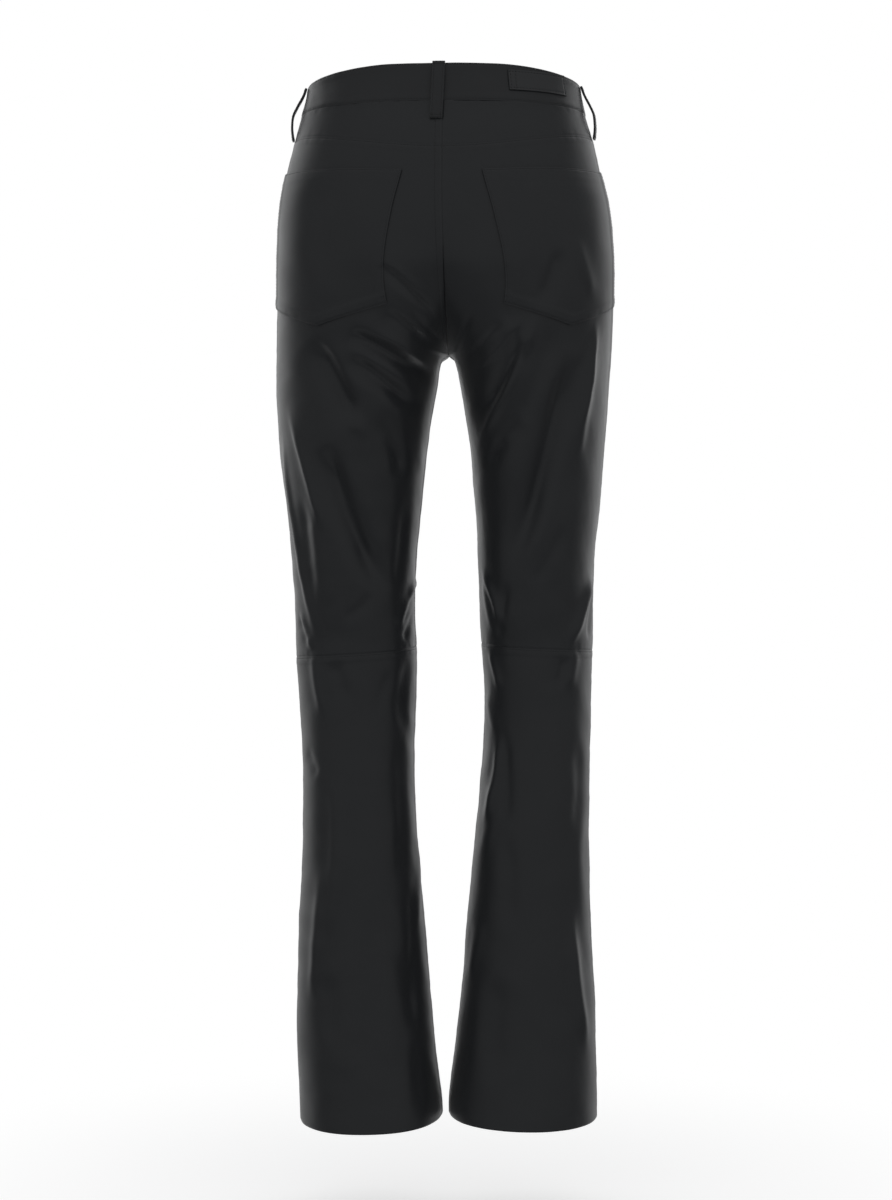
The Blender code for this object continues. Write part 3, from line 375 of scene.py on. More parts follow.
# Crisp creases along and between the large folds, in the same columns, and by leg and face too.
CREASES = {
    (LEFT, BACK): [
        # the seat and the back pockets
        (62, -190, 33, -216, 4, -243, 4.0, -2.2), (62, -186, 38, -208, 12, -230, 4.0, 0.7),
        (122, -100, 117, -150, 120, -215, 15.0, -2.4), (84, -112, 78, -155, 80, -205, 14.0, 1.0),
        # from the seat and the crotch down the thigh
        (57, -234, 34, -251, 9, -269, 4.5, -1.9), (34, -232, 16, -252, 3, -263, 3.5, -0.9),
        (72, -256, 40, -272, 8, -291, 4.0, 1.3), (93, -256, 60, -274, 8, -301, 6.2, -3.8),
        (96, -279, 55, -307, 20, -331, 7.0, -4.2), (131, -260, 106, -304, 85, -351, 9.5, -6.0),
        (122, -296, 96, -338, 70, -360, 6.0, 1.0), (66, -334, 48, -364, 42, -404, 9.0, -1.6),
        (119, -364, 95, -432, 52, -524, 10.0, -7.0), (157, -326, 134, -400, 118, -456, 4.5, 1.9),
        (164, -345, 149, -462, 126, -566, 5.0, 2.0), (142, -410, 136, -468, 128, -530, 8.0, -1.6),
        (38, -415, 43, -470, 48, -515, 8.0, -1.5), (104, -402, 84, -446, 60, -480, 6.0, 0.9),
        (66, -508, 84, -528, 104, -540, 6.0, -0.8),
        # knee
        (29, -494, 38, -522, 47, -550, 4.5, 1.9), (33, -530, 38, -548, 42, -562, 4.5, -1.2),
        (147, -530, 140, -552, 132, -572, 4.0, 1.4), (132, -572, 128, -604, 120, -640, 6.0, 1.8),
        (112, -580, 104, -600, 97, -626, 7.0, -1.8), (52, -590, 62, -612, 66, -640, 6.0, -0.8),
        # calf
        (48, -640, 43, -737, 46, -815, 9.0, -1.2), (112, -690, 106, -775, 118, -880, 8.0, 2.6),
        (122, -786, 128, -866, 135, -925, 6.0, 1.6), (34, -800, 31, -875, 33, -956, 8.0, -1.6),
        (75, -815, 76, -910, 73, -1005, 8.0, -1.0), (118, -890, 112, -930, 114, -965, 10.0, -1.6),
        (58, -840, 54, -920, 52, -1000, 9.0, 0.8), (24, -960, 26, -1000, 18, -1034, 9.0, -1.3),
    ],
    (RIGHT, BACK): [
        # the seat and the back pockets
        (88, -104, 91, -150, 89, -200, 12.0, 1.2), (116, -174, 107, -204, 94, -238, 8.0, -2.6),
        (126, -160, 137, -192, 148, -226, 7.0, 1.2),
        # from the seat and the crotch down the thigh
        (30, -238, 18, -258, 8, -280, 3.4, -1.0), (60, -246, 42, -266, 20, -284, 5.0, -1.8),
        (79, -240, 56, -272, 27, -294, 4.0, 1.6), (80, -262, 60, -298, 34, -340, 8.0, -4.4),
        (93, -238, 66, -306, 31, -372, 4.5, 2.2), (108, -250, 92, -306, 66, -360, 7.0, -1.2),
        (128, -274, 104, -372, 60, -506, 10.0, -7.0), (152, -240, 142, -306, 130, -368, 4.5, 2.2),
        (140, -262, 130, -316, 118, -360, 7.0, -1.2), (79, -340, 58, -364, 38, -392, 8.0, -1.8),
        (112, -400, 98, -446, 78, -490, 7.0, 0.9), (122, -440, 104, -480, 84, -506, 6.0, -0.8),
        (150, -272, 141, -328, 132, -386, 6.0, 2.0),
        # knee
        (34, -484, 50, -520, 58, -552, 5.0, 1.9), (64, -500, 58, -532, 55, -562, 5.0, -1.4),
        (151, -488, 138, -532, 124, -570, 5.0, 2.2), (149, -512, 147, -538, 143, -560, 5.5, -1.4),
        (122, -574, 118, -592, 111, -608, 3.6, -1.7), (132, -568, 128, -588, 124, -612, 7.0, 1.6),
        (44, -568, 50, -590, 56, -612, 5.0, 1.4),
        # calf
        (54, -650, 51, -704, 36, -748, 6.0, 2.0), (58, -640, 62, -700, 60, -748, 7.0, -1.8),
        (60, -744, 66, -800, 64, -860, 8.0, -1.5), (133, -650, 134, -710, 130, -770, 8.0, -1.2),
        (128, -826, 132, -900, 144, -975, 6.0, 2.2), (38, -836, 31, -872, 24, -908, 8.0, 1.2),
        (58, -890, 50, -944, 52, -1000, 15.0, -2.2), (96, -860, 98, -930, 94, -1000, 9.0, -0.8),
    ],
    (LEFT, FRONT): [
        (12, -240, 36, -244, 66, -228, 4.5, -1.5), (18, -276, 52, -286, 92, -274, 5.0, -2.0),
        (24, -308, 54, -326, 88, -330, 6.0, -1.8), (148, -300, 126, -360, 92, -420, 6.5, -2.6),
        (112, -400, 92, -450, 60, -500, 6.5, -2.4), (156, -380, 144, -440, 126, -500, 5.0, 1.8),
        (40, -420, 50, -470, 44, -520, 8.0, -1.4), (136, -520, 106, -544, 70, -540, 5.0, -1.8),
        (128, -590, 104, -604, 74, -600, 5.0, -1.6), (62, -620, 78, -650, 84, -690, 7.0, -1.4),
        (118, -680, 112, -760, 120, -850, 8.0, 1.8), (44, -720, 40, -800, 46, -880, 8.0, -1.3),
        (92, -860, 90, -930, 94, -1010, 9.0, -1.0),
    ],
    (RIGHT, FRONT): [
        (14, -236, 40, -236, 72, -214, 4.5, -1.5), (20, -280, 56, -292, 96, -288, 5.0, -2.2),
        (30, -318, 62, -338, 98, -346, 6.0, -1.6), (146, -318, 122, -384, 86, -450, 6.5, -2.8),
        (104, -430, 84, -474, 56, -516, 6.5, -2.0), (154, -360, 140, -430, 124, -486, 5.0, 1.8),
        (46, -400, 54, -452, 46, -500, 8.0, -1.4), (130, -514, 100, -534, 66, -530, 5.0, -1.7),
        (134, -598, 108, -614, 78, -610, 5.0, -1.6), (58, -632, 70, -668, 74, -706, 7.0, -1.3),
        (122, -700, 114, -780, 124, -870, 8.0, 1.7), (42, -740, 40, -820, 48, -900, 8.0, -1.3),
        (96, -880, 94, -950, 98, -1020, 9.0, -1.0),
    ],
}

Wave = namedtuple("Wave", "length height count")
SWELLS = [Wave(85.0, 0.45, 7), Wave(34.0, 0.16, 9), Wave(13.0, 0.035, 9)]
SWELL_SPREAD = (0.75, 1.35)  # each sine's frequency is its wave's times a factor in this range
TIGHT_SHARE, TIGHT_LOW, TIGHT_FADE = 0.35, -150.0, 200.0


def swell_share(z):
    """The hide lies tight over the hips and looser below."""
    return TIGHT_SHARE + (1 - TIGHT_SHARE) * smooth((TIGHT_LOW - z) / TIGHT_FADE)


def fold_path(fold):
    """The fold's line on the cloth."""
    t = np.linspace(0.0, 1.0, FOLD_STEPS)
    first, middle, last = (1 - t) * (1 - 2 * t), 4 * t * (1 - t), t * (2 * t - 1)
    x = fold.x0 * first + fold.x1 * middle + fold.x2 * last
    z = fold.z0 * first + fold.z1 * middle + fold.z2 * last
    panel = PANELS[fold.leg, fold.face]
    return np.array([[fold.leg * a, panel.depth_at(a, b), b] for a, b in zip(x, z)])


SHOULDERS = [fold._replace(rise=SHOULDER_RISE * fold.rise) for fold in folds_of(FOLDS)]
CRISP = [
    fold._replace(rise=CREASE_DEPTH * fold.rise, width=CREASE_WIDTH * fold.width)
    for fold in folds_of(CREASES)
]
FOLD_PATHS = [(fold, fold_path(fold)) for fold in SHOULDERS + CRISP]


def fold_height(points, leg):
    """How far the folds move the cloth out at points of one leg."""
    height = np.zeros(len(points))
    for fold, path in FOLD_PATHS:
        if fold.leg != leg:
            continue
        reach = FOLD_REACH * fold.width
        inside = (points > path.min(axis=0) - reach) & (points < path.max(axis=0) + reach)
        near = np.nonzero(inside.all(axis=1))[0]
        if not len(near):
            continue
        start, run = path[:-1], np.diff(path, axis=0)
        apart = points[near, None] - start
        share = np.clip(np.einsum("nki,ki->nk", apart, run) / np.sum(run * run, axis=1), 0, 1)
        off = apart - run * share[..., None]
        away = np.linalg.norm(off, axis=2)
        k = np.argmin(away, axis=1)
        n = np.arange(len(near))
        t = (k + share[n, k]) / len(run)
        fade = smooth(t / FOLD_TAPER) * smooth((1 - t) / FOLD_TAPER)
        gap = away[n, k]
        upward = off[n, k, 2] / np.maximum(gap, 0.01)
        width = fold.width * (1 + LEAN * np.sign(fold.rise) * upward)
        height[near] += fold.rise * fade * np.exp(-((gap / width) ** 2))
    return height


def swell(points, seed, waves=SWELLS):
    """A low uneven swell in the hide: sines in scattered directions."""
    rng = np.random.default_rng(seed)
    height = np.zeros(points.shape[:-1])
    for wave in waves:
        toward = unit(rng.normal(size=(wave.count, 3)))
        stretch = rng.uniform(*SWELL_SPREAD, wave.count)
        phase = rng.uniform(0, 2 * math.pi, wave.count)
        for d, k, p in zip(toward, stretch, phase):
            rise = np.sin(points @ d * 2 * math.pi * k / wave.length + p)
            height += wave.height / math.sqrt(wave.count) * rise
    return height


# ---------------------------------------------------------------- seams

LEATHER_THICK = 1.2  # the walls of the shells' panels
SEAM_TOUCH = 0.1  # between pieces at a seam
ROLL_REACH = 0.9  # the edge of a piece turns in over this distance
BULGE_RISE, BULGE_FADE = 1.6, 2.0  # the allowance inside a seam begins and ends over these distances
GROOVE_DEPTH, GROOVE_WIDTH = 0.32, 0.7
PUCKER_AT, PUCKER_WIDTH = 3.0, 3.4
SeamLook = namedtuple("SeamLook", "roll bulge reach rows pucker")
OPEN = SeamLook(0.8, 0.32, 6.5, (), 0.10)
UNDER = SeamLook(1.0, 0.0, 6.5, (), 0.14)
YOKE_UNDER = SeamLook(0.3, 0.0, 6.5, (), 0.10)
YOKE_TOPPED = SeamLook(0.12, 0.14, 6.5, (1.9,), 0.10)
KNEE_UNDER = SeamLook(0.5, 0.0, 6.5, (), 0.12)
TOPPED = SeamLook(0.15, 0.24, 6.5, (1.9,), 0.12)
CENTRE_UNDER = SeamLook(0.3, 0.0, 6.5, (), 0.10)
CENTRE = SeamLook(0.25, 0.3, 6.6, (7.0,), 0.12)
CUT = SeamLook(0.35, 0.0, 1.0, (), 0.0)
BAND_EDGE = SeamLook(0.7, 0.12, 6.0, (1.9,), 0.05)
BAND_END = SeamLook(0.7, 0.1, 6.0, (1.9,), 0.0)
POCKET_SIDE = SeamLook(0.22, 0.45, 9.0, (1.7,), 0.10)
POCKET_HEM = SeamLook(0.3, 0.2, 11.0, (1.7,), 0.05)
MOUTH = SeamLook(0.6, 0.35, 7.5, (1.9, 7.9), 0.12)
FLY_EDGE = SeamLook(0.6, 0.3, 7.5, (1.9, 7.9), 0.10)
PATCH_EDGE = SeamLook(0.15, 0.0, 5.0, (2.2,), 0.03)
PATCH_END = SeamLook(0.3, 0.15, 6.2, (2.2, 7.6), 0.03)
PUCKER_LENGTHS = (9.1, 14.7, 23.0)


def wobble(along):
    """An uneven run of small puckers along a seam, about -1 to 1."""
    return sum(np.sin(2 * math.pi * along / length + length) for length in PUCKER_LENGTHS) / 2.0


def seam_relief(look, gap, along):
    """How far a seam moves the cloth at this gap from the piece's edge."""
    height = -look.roll * np.exp(-((gap / ROLL_REACH) ** 2))
    height += look.bulge * smooth(gap / BULGE_RISE) * (1 - smooth((gap - look.reach) / BULGE_FADE))
    for row in look.rows:
        height -= GROOVE_DEPTH * np.exp(-(((gap - row) / GROOVE_WIDTH) ** 2))
    return height + look.pucker * wobble(along) * np.exp(-(((gap - PUCKER_AT) / PUCKER_WIDTH) ** 2))


# ---------------------------------------------------------------- grids

SEAM_MARKS = np.array([0.0, 0.35, 0.8, 1.35, 1.9, 2.5, 3.2, 4.1, 5.2, 6.4, 7.4, 8.6, 10.0])
END_MARK = np.array([0.0])
STEADY_SHARE = 0.75  # past this share of a row its points follow the row's own length
FAR_FROM_EDGE = 40.0  # a gap that no seam's relief reaches


def lines(lengths, step, first=SEAM_MARKS, last=SEAM_MARKS, steady=None):
    """For each length, distances along it: at the marks by its ends and about a step apart between.

    With steady lengths the points between keep in line from row to row where lengths jump."""
    lengths = np.atleast_1d(np.asarray(lengths, float))[:, None]
    count = max(3, int(round((lengths.max() - first[-1] - last[-1]) / step)))
    share = np.linspace(0, 1, count + 1)[None, 1:-1]
    low, high = first[-1], lengths - last[-1]
    middle = low + (high - low) * share
    if steady is not None:
        held = 1 - smooth((share - STEADY_SHARE) / (1 - STEADY_SHARE))
        middle = middle + (steady[:, None] - lengths) * share * held
    return np.concatenate([first + 0 * lengths, middle, lengths - last[::-1]], axis=1)


class Piece:
    """A fine grid over one piece: outer and inner points, directions out and gaps to its edges."""

    def __init__(self, name, outer, inner, normal, gaps, looks):
        self.name, self.outer, self.inner, self.normal = name, outer, inner, normal
        self.gaps, self.looks = gaps, looks

    def line(self, edge, gap):
        """The line on the piece that keeps this gap to one of its edges."""
        gaps, point, normal = self.gaps[edge], self.outer, self.normal
        if edge in ("top", "bottom"):
            gaps, point, normal = gaps.T, point.transpose(1, 0, 2), normal.transpose(1, 0, 2)
        if edge in ("last", "bottom"):
            gaps, point, normal = gaps[:, ::-1], point[:, ::-1], normal[:, ::-1]
        both = np.concatenate([point, normal], axis=2)
        path = np.array([[np.interp(gap, g, row[:, i]) for i in range(6)] for g, row in zip(gaps, both)])
        return path[:, :3], unit(path[:, 3:])


def laid_piece(name, base, normal, gaps, looks, along, height, thick):
    """A piece whose outer face stands this height off a base grid, with the relief of its seams."""
    relief = np.zeros_like(height)
    for edge, look in looks.items():
        relief += seam_relief(look, gaps[edge], along[edge])
    outer = base + normal * (height + relief)[..., None]
    inner = base + normal * (height - thick)[..., None]
    return Piece(name, outer, inner, normal, gaps, looks)


def panel_piece(name, panel, s, z, gaps, looks, lift=0.0, thick=LEATHER_THICK):
    """A piece of one panel over a grid of (s, z), with the folds and creases."""
    base, normal = panel.read(s, z)
    flat = base.reshape(-1, 3)
    folds = fold_height(flat, panel.side).reshape(s.shape)
    height = folds + swell(base, PANEL_SEEDS[panel.side]) * swell_share(z) + lift
    across = s * panel.length(z)
    along = {"first": z, "last": z, "top": across, "bottom": across}
    piece = laid_piece(name, base, normal, gaps, looks, along, height, thick)
    limit = centre_x(z) + panel.side * 0.5 * SEAM_TOUCH
    for points in (piece.outer, piece.inner):
        points[..., 0] = panel.side * np.maximum(panel.side * points[..., 0], panel.side * limit)
    return piece


# ---------------------------------------------------------------- rows of the panels

KNEE_LEVEL = -575.0
KNEE_FADE_LEVEL = -350.0


def yoke_seam(s):
    return YOKE_SIDE_Z + (YOKE_CENTRE_Z - YOKE_SIDE_Z) * smooth(s)


def band_bottom(face, s):
    dip = BAND_FRONT_DIP * smooth(s) if face == FRONT else 0.0 * s
    return BAND_BOTTOM_Z - dip


def band_top(face, s):
    if face == BACK:
        return BAND_TOP_SIDE_Z + BAND_TOP_BACK_RISE * smooth(s / BAND_RISE_SHARE)
    return BAND_TOP_SIDE_Z - BAND_FRONT_DIP * smooth(s)


def leg_edge(edge, s):
    """The knee seam or the hem: its height at s."""
    return edge.outer + (edge.inner - edge.outer) * s**LEG_EDGE_POWER - edge.dip * np.sin(math.pi * s)


def panel_row(side, face, level, s):
    """The height of a panel's row, which follows the seams near them and is level between."""
    if face == BACK:
        fade = 1 - smooth((YOKE_SIDE_Z - level) / YOKE_FADE)
        z = level + (yoke_seam(s) - YOKE_SIDE_Z) * fade
    else:
        fade = 1 - smooth((BAND_BOTTOM_Z - level) / YOKE_FADE)
        z = level + (band_bottom(FRONT, s) - BAND_BOTTOM_Z) * fade
    knee = smooth((level - KNEE_FADE_LEVEL) / (KNEE_LEVEL - KNEE_FADE_LEVEL))
    return z + (leg_edge(KNEE_SEAMS[side], s) - KNEE_LEVEL) * knee


# ---------------------------------------------------------------- the panels

BACK_STEP, FRONT_STEP, LOWER_STEP = 2.7, 3.4, 3.2
CROTCH_ROWS = (-258.0, -292.0, 1.3)
ROW_CLEAR = 1.0  # the even rows leave the close ones this much room
TUCK = 1.6  # how far a piece reaches up inside the waistband
YOKE_RUN = 30.0  # the yoke's rows are spaced as if it were this high


def leg_levels(top, step, tuck=0.0):
    """Levels from a panel's top to the knee, close together by the seams and the crotch."""
    even = top - lines([top - KNEE_LEVEL], step)[0]
    even[0] += tuck
    close = np.arange(CROTCH_ROWS[0], CROTCH_ROWS[1], -CROTCH_ROWS[2])
    clear = (even > CROTCH_ROWS[0] + ROW_CLEAR) | (even < CROTCH_ROWS[1] - ROW_CLEAR)
    return np.sort(np.concatenate([even[clear], close]))[::-1]


def edge_gaps(panel, s, z, top, bottom, start=0.0):
    """How far each grid point lies from the piece's four edges."""
    run = panel.length(z)
    return {"first": (s - start) * run, "last": (1 - s) * run, "top": top - z, "bottom": z - bottom}


def upper_back(side):
    panel = PANELS[side, BACK]
    levels = leg_levels(YOKE_SIDE_Z, BACK_STEP)
    run = panel.length(levels)
    s = lines(run, BACK_STEP, steady=panel.steady_length(levels)) / run[:, None]
    z = panel_row(side, BACK, levels[:, None], s)
    gaps = edge_gaps(panel, s, z, yoke_seam(s), leg_edge(KNEE_SEAMS[side], s))
    centre = CENTRE if side == LEFT else CENTRE_UNDER
    looks = {"first": OPEN, "last": centre, "top": YOKE_TOPPED, "bottom": KNEE_UNDER}
    return panel_piece(f"back_{TAGS[side]}", panel, s, z, gaps, looks)


def yoke(side):
    panel = PANELS[side, BACK]
    shares = lines([YOKE_RUN], BACK_STEP)[0]
    shares = shares[:, None] / shares[-1]
    run = panel.length(YOKE_SIDE_Z)
    s = np.repeat(lines([run], BACK_STEP) / run, len(shares), axis=0)
    top, bottom = band_bottom(BACK, s) + TUCK, yoke_seam(s)
    z = top * (1 - shares) + bottom * shares
    gaps = edge_gaps(panel, s, z, top, bottom)
    centre = CENTRE if side == LEFT else CENTRE_UNDER
    looks = {"first": OPEN, "last": centre, "top": UNDER, "bottom": YOKE_UNDER}
    return panel_piece(f"yoke_{TAGS[side]}", panel, s, z, gaps, looks)


# Front pockets: the scooped mouth and the facing behind it.
MOUTH_WIDTH, MOUTH_DEPTH, MOUTH_ROUND = 85.0, 70.0, 1.7
MOUTH_LEVELS = (-88.0, -102.0, 0.9)  # rows lie close together by the mouth's lower end
MOUTH_END_FADE, MOUTH_END_LIFT = 3.0, 4.0
MOUTH_STEPS = 90
FACING_HEM = 14.0
FACING_GAP = 0.9
FACING_LOW = -112.0
FACING_TUCK = 8.0  # how far the facing reaches up behind the waistband
FACING_ROWS, FACING_COLUMNS = 44, 36


def mouth_edge(level, width, depth):
    """How far the mouth's edge lies from the side seam at this level."""
    t = np.clip((BAND_BOTTOM_Z - level) / depth, 0.0, 1.0)
    return width * (1 - t**MOUTH_ROUND) ** (1 / MOUTH_ROUND)


def mouth_gap(s, level, run):
    """How far a point of the front lies from the mouth's edge, about."""
    across = s * run / MOUTH_WIDTH
    down = np.clip((BAND_BOTTOM_Z - level) / MOUTH_DEPTH, 0.0, None)
    size = (across**MOUTH_ROUND + down**MOUTH_ROUND) ** (1 / MOUTH_ROUND)
    return (size - 1) * 0.5 * (MOUTH_WIDTH + MOUTH_DEPTH)


def upper_front(side):
    panel = PANELS[side, FRONT]
    levels = leg_levels(BAND_BOTTOM_Z, FRONT_STEP, TUCK)
    low = np.arange(MOUTH_LEVELS[0], MOUTH_LEVELS[1], -MOUTH_LEVELS[2])
    clear = (levels > low[0] + ROW_CLEAR) | (levels < low[-1] - ROW_CLEAR)
    levels = np.unique(np.concatenate([levels[clear], low]))[::-1]
    run = panel.length(levels)
    start = mouth_edge(levels, MOUTH_WIDTH, MOUTH_DEPTH)
    steady = panel.steady_length(levels) - start
    s = (start[:, None] + lines(run - start, FRONT_STEP, steady=steady)) / run[:, None]
    z = panel_row(side, FRONT, levels[:, None], s)
    top = band_bottom(FRONT, s)
    gaps = edge_gaps(panel, s, z, top, leg_edge(KNEE_SEAMS[side], s))
    gaps["mouth"] = mouth_gap(s, levels[:, None], run[:, None])
    looks = {"first": OPEN, "last": OPEN, "top": UNDER, "bottom": KNEE_UNDER}
    below = smooth((BAND_BOTTOM_Z - MOUTH_DEPTH - levels[:, None]) / MOUTH_END_FADE)
    lifted = gaps["first"] + MOUTH_END_LIFT * (1 - below)
    gaps["first"] = np.where(below > 0, lifted, FAR_FROM_EDGE)
    piece = panel_piece(f"front_{TAGS[side]}", panel, s, z, gaps, looks)
    relief = seam_relief(MOUTH, np.clip(gaps["mouth"], 0, None), z)
    piece.outer += piece.normal * relief[..., None]
    piece.looks["mouth"] = MOUTH
    piece.side = side
    return piece


def facing(side):
    panel = PANELS[side, FRONT]
    levels = np.linspace(BAND_BOTTOM_Z + FACING_TUCK, FACING_LOW, FACING_ROWS)
    reach = mouth_edge(levels, MOUTH_WIDTH + FACING_HEM, MOUTH_DEPTH + FACING_HEM)
    s = np.linspace(0, 1, FACING_COLUMNS)[None] * (reach / panel.length(levels))[:, None]
    z = panel_row(side, FRONT, levels[:, None], s)
    gaps = edge_gaps(panel, s, z, band_bottom(FRONT, s) + FACING_TUCK, FACING_LOW + 0 * s)
    lift = -(LEATHER + FACING_GAP)
    return panel_piece(f"pocket_facing_{TAGS[side]}", panel, s, z, gaps, {"first": UNDER}, lift)


def lower_leg(side, face):
    panel = PANELS[side, face]
    top_line, bottom_line = KNEE_SEAMS[side], HEMS[side]
    down = lines([top_line.outer - bottom_line.outer], LOWER_STEP)[0]
    share = down[:, None] / down[-1]
    run = panel.length(top_line.outer + (bottom_line.outer - top_line.outer) * share[:, 0])
    s = lines(run, LOWER_STEP) / run[:, None]
    top, bottom = leg_edge(top_line, s), leg_edge(bottom_line, s)
    z = top * (1 - share) + bottom * share
    gaps = edge_gaps(panel, s, z, top, bottom)
    looks = {"first": OPEN, "last": OPEN, "top": TOPPED, "bottom": CUT}
    name = "lower_back" if face == BACK else "lower_front"
    return panel_piece(f"{name}_{TAGS[side]}", panel, s, z, gaps, looks)


# Back pockets. Distances run along the cloth: the inner edge from the centre seam, the outer edge
# from the side seam.
PocketEdge = namedtuple("PocketEdge", "z inner")
POCKET_INNER = table(
    PocketEdge, (-88, 36), (-101, 39), (-143, 50), (-196, 60), (-231, 62.5), (-252, 63)
)
POCKET_TOP_INNER_Z, POCKET_TOP_OUTER_Z = -100.5, -91.0
POCKET_LOW_INNER_Z, POCKET_POINT_Z, POCKET_LOW_OUTER_Z = -230.5, -250.0, -225.0
POCKET_POINT_SHARE = 0.48
POCKET_FROM_SEAM = 5.0
POCKET_LEATHER = 1.3
POCKET_STEP = 2.2
POCKET_WIDE, POCKET_LONG = 135.0, 140.0


def back_pocket(side):
    panel = PANELS[side, BACK]
    inner_edge = column(POCKET_INNER, "inner")
    point_at = POCKET_POINT_SHARE * POCKET_WIDE
    halves = [lines([point_at], POCKET_STEP, last=END_MARK)[0]]
    halves.append(point_at + lines([POCKET_WIDE - point_at], POCKET_STEP, first=END_MARK)[0][1:])
    u = np.concatenate(halves)[None] / POCKET_WIDE
    down = lines([POCKET_LONG], POCKET_STEP)[0][:, None] / POCKET_LONG
    top = POCKET_TOP_INNER_Z + (POCKET_TOP_OUTER_Z - POCKET_TOP_INNER_Z) * u
    corners = [POCKET_LOW_INNER_Z, POCKET_POINT_Z, POCKET_LOW_OUTER_Z]
    low = np.interp(u, [0, POCKET_POINT_SHARE, 1], corners)
    z = top + (low - top) * down
    run = panel.length(z)
    inner = inner_edge(z)
    width = run - POCKET_FROM_SEAM - inner
    s = 1 - ((1 - u) * inner + u * (run - POCKET_FROM_SEAM)) / run
    gaps = {"first": u * width, "last": (1 - u) * width, "top": top - z, "bottom": z - low}
    looks = {"first": POCKET_SIDE, "last": POCKET_SIDE, "top": POCKET_HEM, "bottom": POCKET_SIDE}
    lift = LAID_GAP + POCKET_LEATHER
    return panel_piece(f"back_pocket_{TAGS[side]}", panel, s, z, gaps, looks, lift, POCKET_LEATHER)


# Fly: the outer piece that covers the closure, on the wearer's right of the centre front.
FLY_WIDE, FLY_LOW_Z, FLY_THICK = 36.0, -165.0, 1.2
FLY_TOP_Z, FLY_END_Z = -30.5, -160.5
FLY_STRAIGHT_Z = -110.0
FLY_ROWS, FLY_STEP = 74, 2.0


def fly():
    panel = PANELS[RIGHT, FRONT]
    level = np.linspace(FLY_TOP_Z, FLY_END_Z, FLY_ROWS)[:, None]
    t = np.clip((FLY_STRAIGHT_Z - level) / (FLY_STRAIGHT_Z - FLY_LOW_Z), 0.0, 1.0)
    wide = FLY_WIDE * np.sqrt(1 - t * t)
    v = lines([FLY_WIDE], FLY_STEP)[0][None] / FLY_WIDE
    s = 1 - wide / panel.length(level) * (1 - v)
    z = panel_row(RIGHT, FRONT, level, s)
    across = (1 - v) * wide / FLY_WIDE
    size = np.where(t > 0, np.sqrt(across**2 + t * t), across)
    edge = (1 - size) * FLY_WIDE
    to_centre = (1 - s) * panel.length(level)
    gaps = {"first": edge, "last": to_centre, "top": band_bottom(FRONT, s) - z}
    looks = {"first": FLY_EDGE, "last": UNDER, "top": UNDER}
    return panel_piece("fly", panel, s, z, gaps, looks, LAID_GAP + FLY_THICK, FLY_THICK)


# ---------------------------------------------------------------- the waistband and what is on it

BAND_THICK = 2.2
BAND_PROUD = 0.6
BAND_STEP = 2.0
OVERLAP_REACH, UNDERLAP_REACH = 20.0, 14.0
OVERLAP_LIFT = BAND_THICK + LAID_GAP
OVERLAP_RISE_FROM, OVERLAP_RISE_LONG = 38.0, 20.0
BAND_ROUND = 880.0
BAND_SWELL, BAND_SEED = (Wave(60.0, 0.22, 6), Wave(24.0, 0.09, 7)), 11


def ring_edges(g):
    """The heights of the band's top and bottom edges at g."""
    g = np.where(np.abs(g) <= 2, np.abs(g), 4 - np.abs(g))
    back, front = 1 - g, g - 1
    top = np.where(g <= 1, band_top(BACK, back), band_top(FRONT, front))
    return top, np.where(g <= 1, band_bottom(BACK, back), band_bottom(FRONT, front))


def waistband():
    run = float(PANELS[RIGHT, FRONT].length(BAND_BOTTOM_Z))
    first, last = 2 + UNDERLAP_REACH / run, -2 - OVERLAP_REACH / run
    share = lines([BAND_ROUND], BAND_STEP) / BAND_ROUND
    down = lines([-BAND_BOTTOM_Z], BAND_STEP)[0][:, None]
    down = down / down[-1]
    g = first + (last - first) * share + 0 * down
    lap = np.where(g < 0, smooth((OVERLAP_RISE_FROM - (g + 2) * run) / OVERLAP_RISE_LONG), 0.0)
    top, bottom = ring_edges(g)
    z = top * (1 - down) + (bottom + SEAM_TOUCH) * down
    base, normal = around(g, z)
    gaps = {"first": (first - g) * run, "last": (g - last) * run, "top": top - z, "bottom": z - bottom}
    looks = {"first": BAND_END, "last": BAND_END, "top": BAND_EDGE, "bottom": BAND_EDGE}
    along = {"first": z, "last": z, "top": g * run, "bottom": g * run}
    height = BAND_PROUD + OVERLAP_LIFT * lap + swell(base, BAND_SEED, BAND_SWELL)
    return laid_piece("waistband", base, normal, gaps, looks, along, height, BAND_THICK)


# Patch on the band, on the wearer's right of the centre back. It is bare.
PATCH_FROM, PATCH_TO = 66.0, 132.0
PATCH_TOP_Z, PATCH_LOW_Z = 2.5, -18.4
PATCH_THICK = 1.0
PATCH_STEP = 1.6


def waistband_patch():
    run = float(PANELS[RIGHT, BACK].length(PATCH_LOW_Z))
    along = lines([PATCH_TO - PATCH_FROM], PATCH_STEP)
    g = -(PATCH_FROM + along) / run
    down = lines([PATCH_TOP_Z - PATCH_LOW_Z], PATCH_STEP)[0][:, None]
    z = PATCH_TOP_Z - down + 0 * g
    g = g + 0 * down
    base, normal = around(g, z)
    gaps = {
        "first": along + 0 * down,
        "last": PATCH_TO - PATCH_FROM - along + 0 * down,
        "top": down + 0 * g,
        "bottom": z - PATCH_LOW_Z,
    }
    looks = {edge: PATCH_EDGE for edge in gaps} | {"first": PATCH_END}
    runs = {"first": z, "last": z, "top": g * run, "bottom": g * run}
    height = BAND_PROUD + LAID_GAP + PATCH_THICK + swell(base, BAND_SEED, BAND_SWELL)
    return laid_piece("waistband_patch", base, normal, gaps, looks, runs, height, PATCH_THICK)


# ---------------------------------------------------------------- materials


BUMP_DEPTH = 0.0002


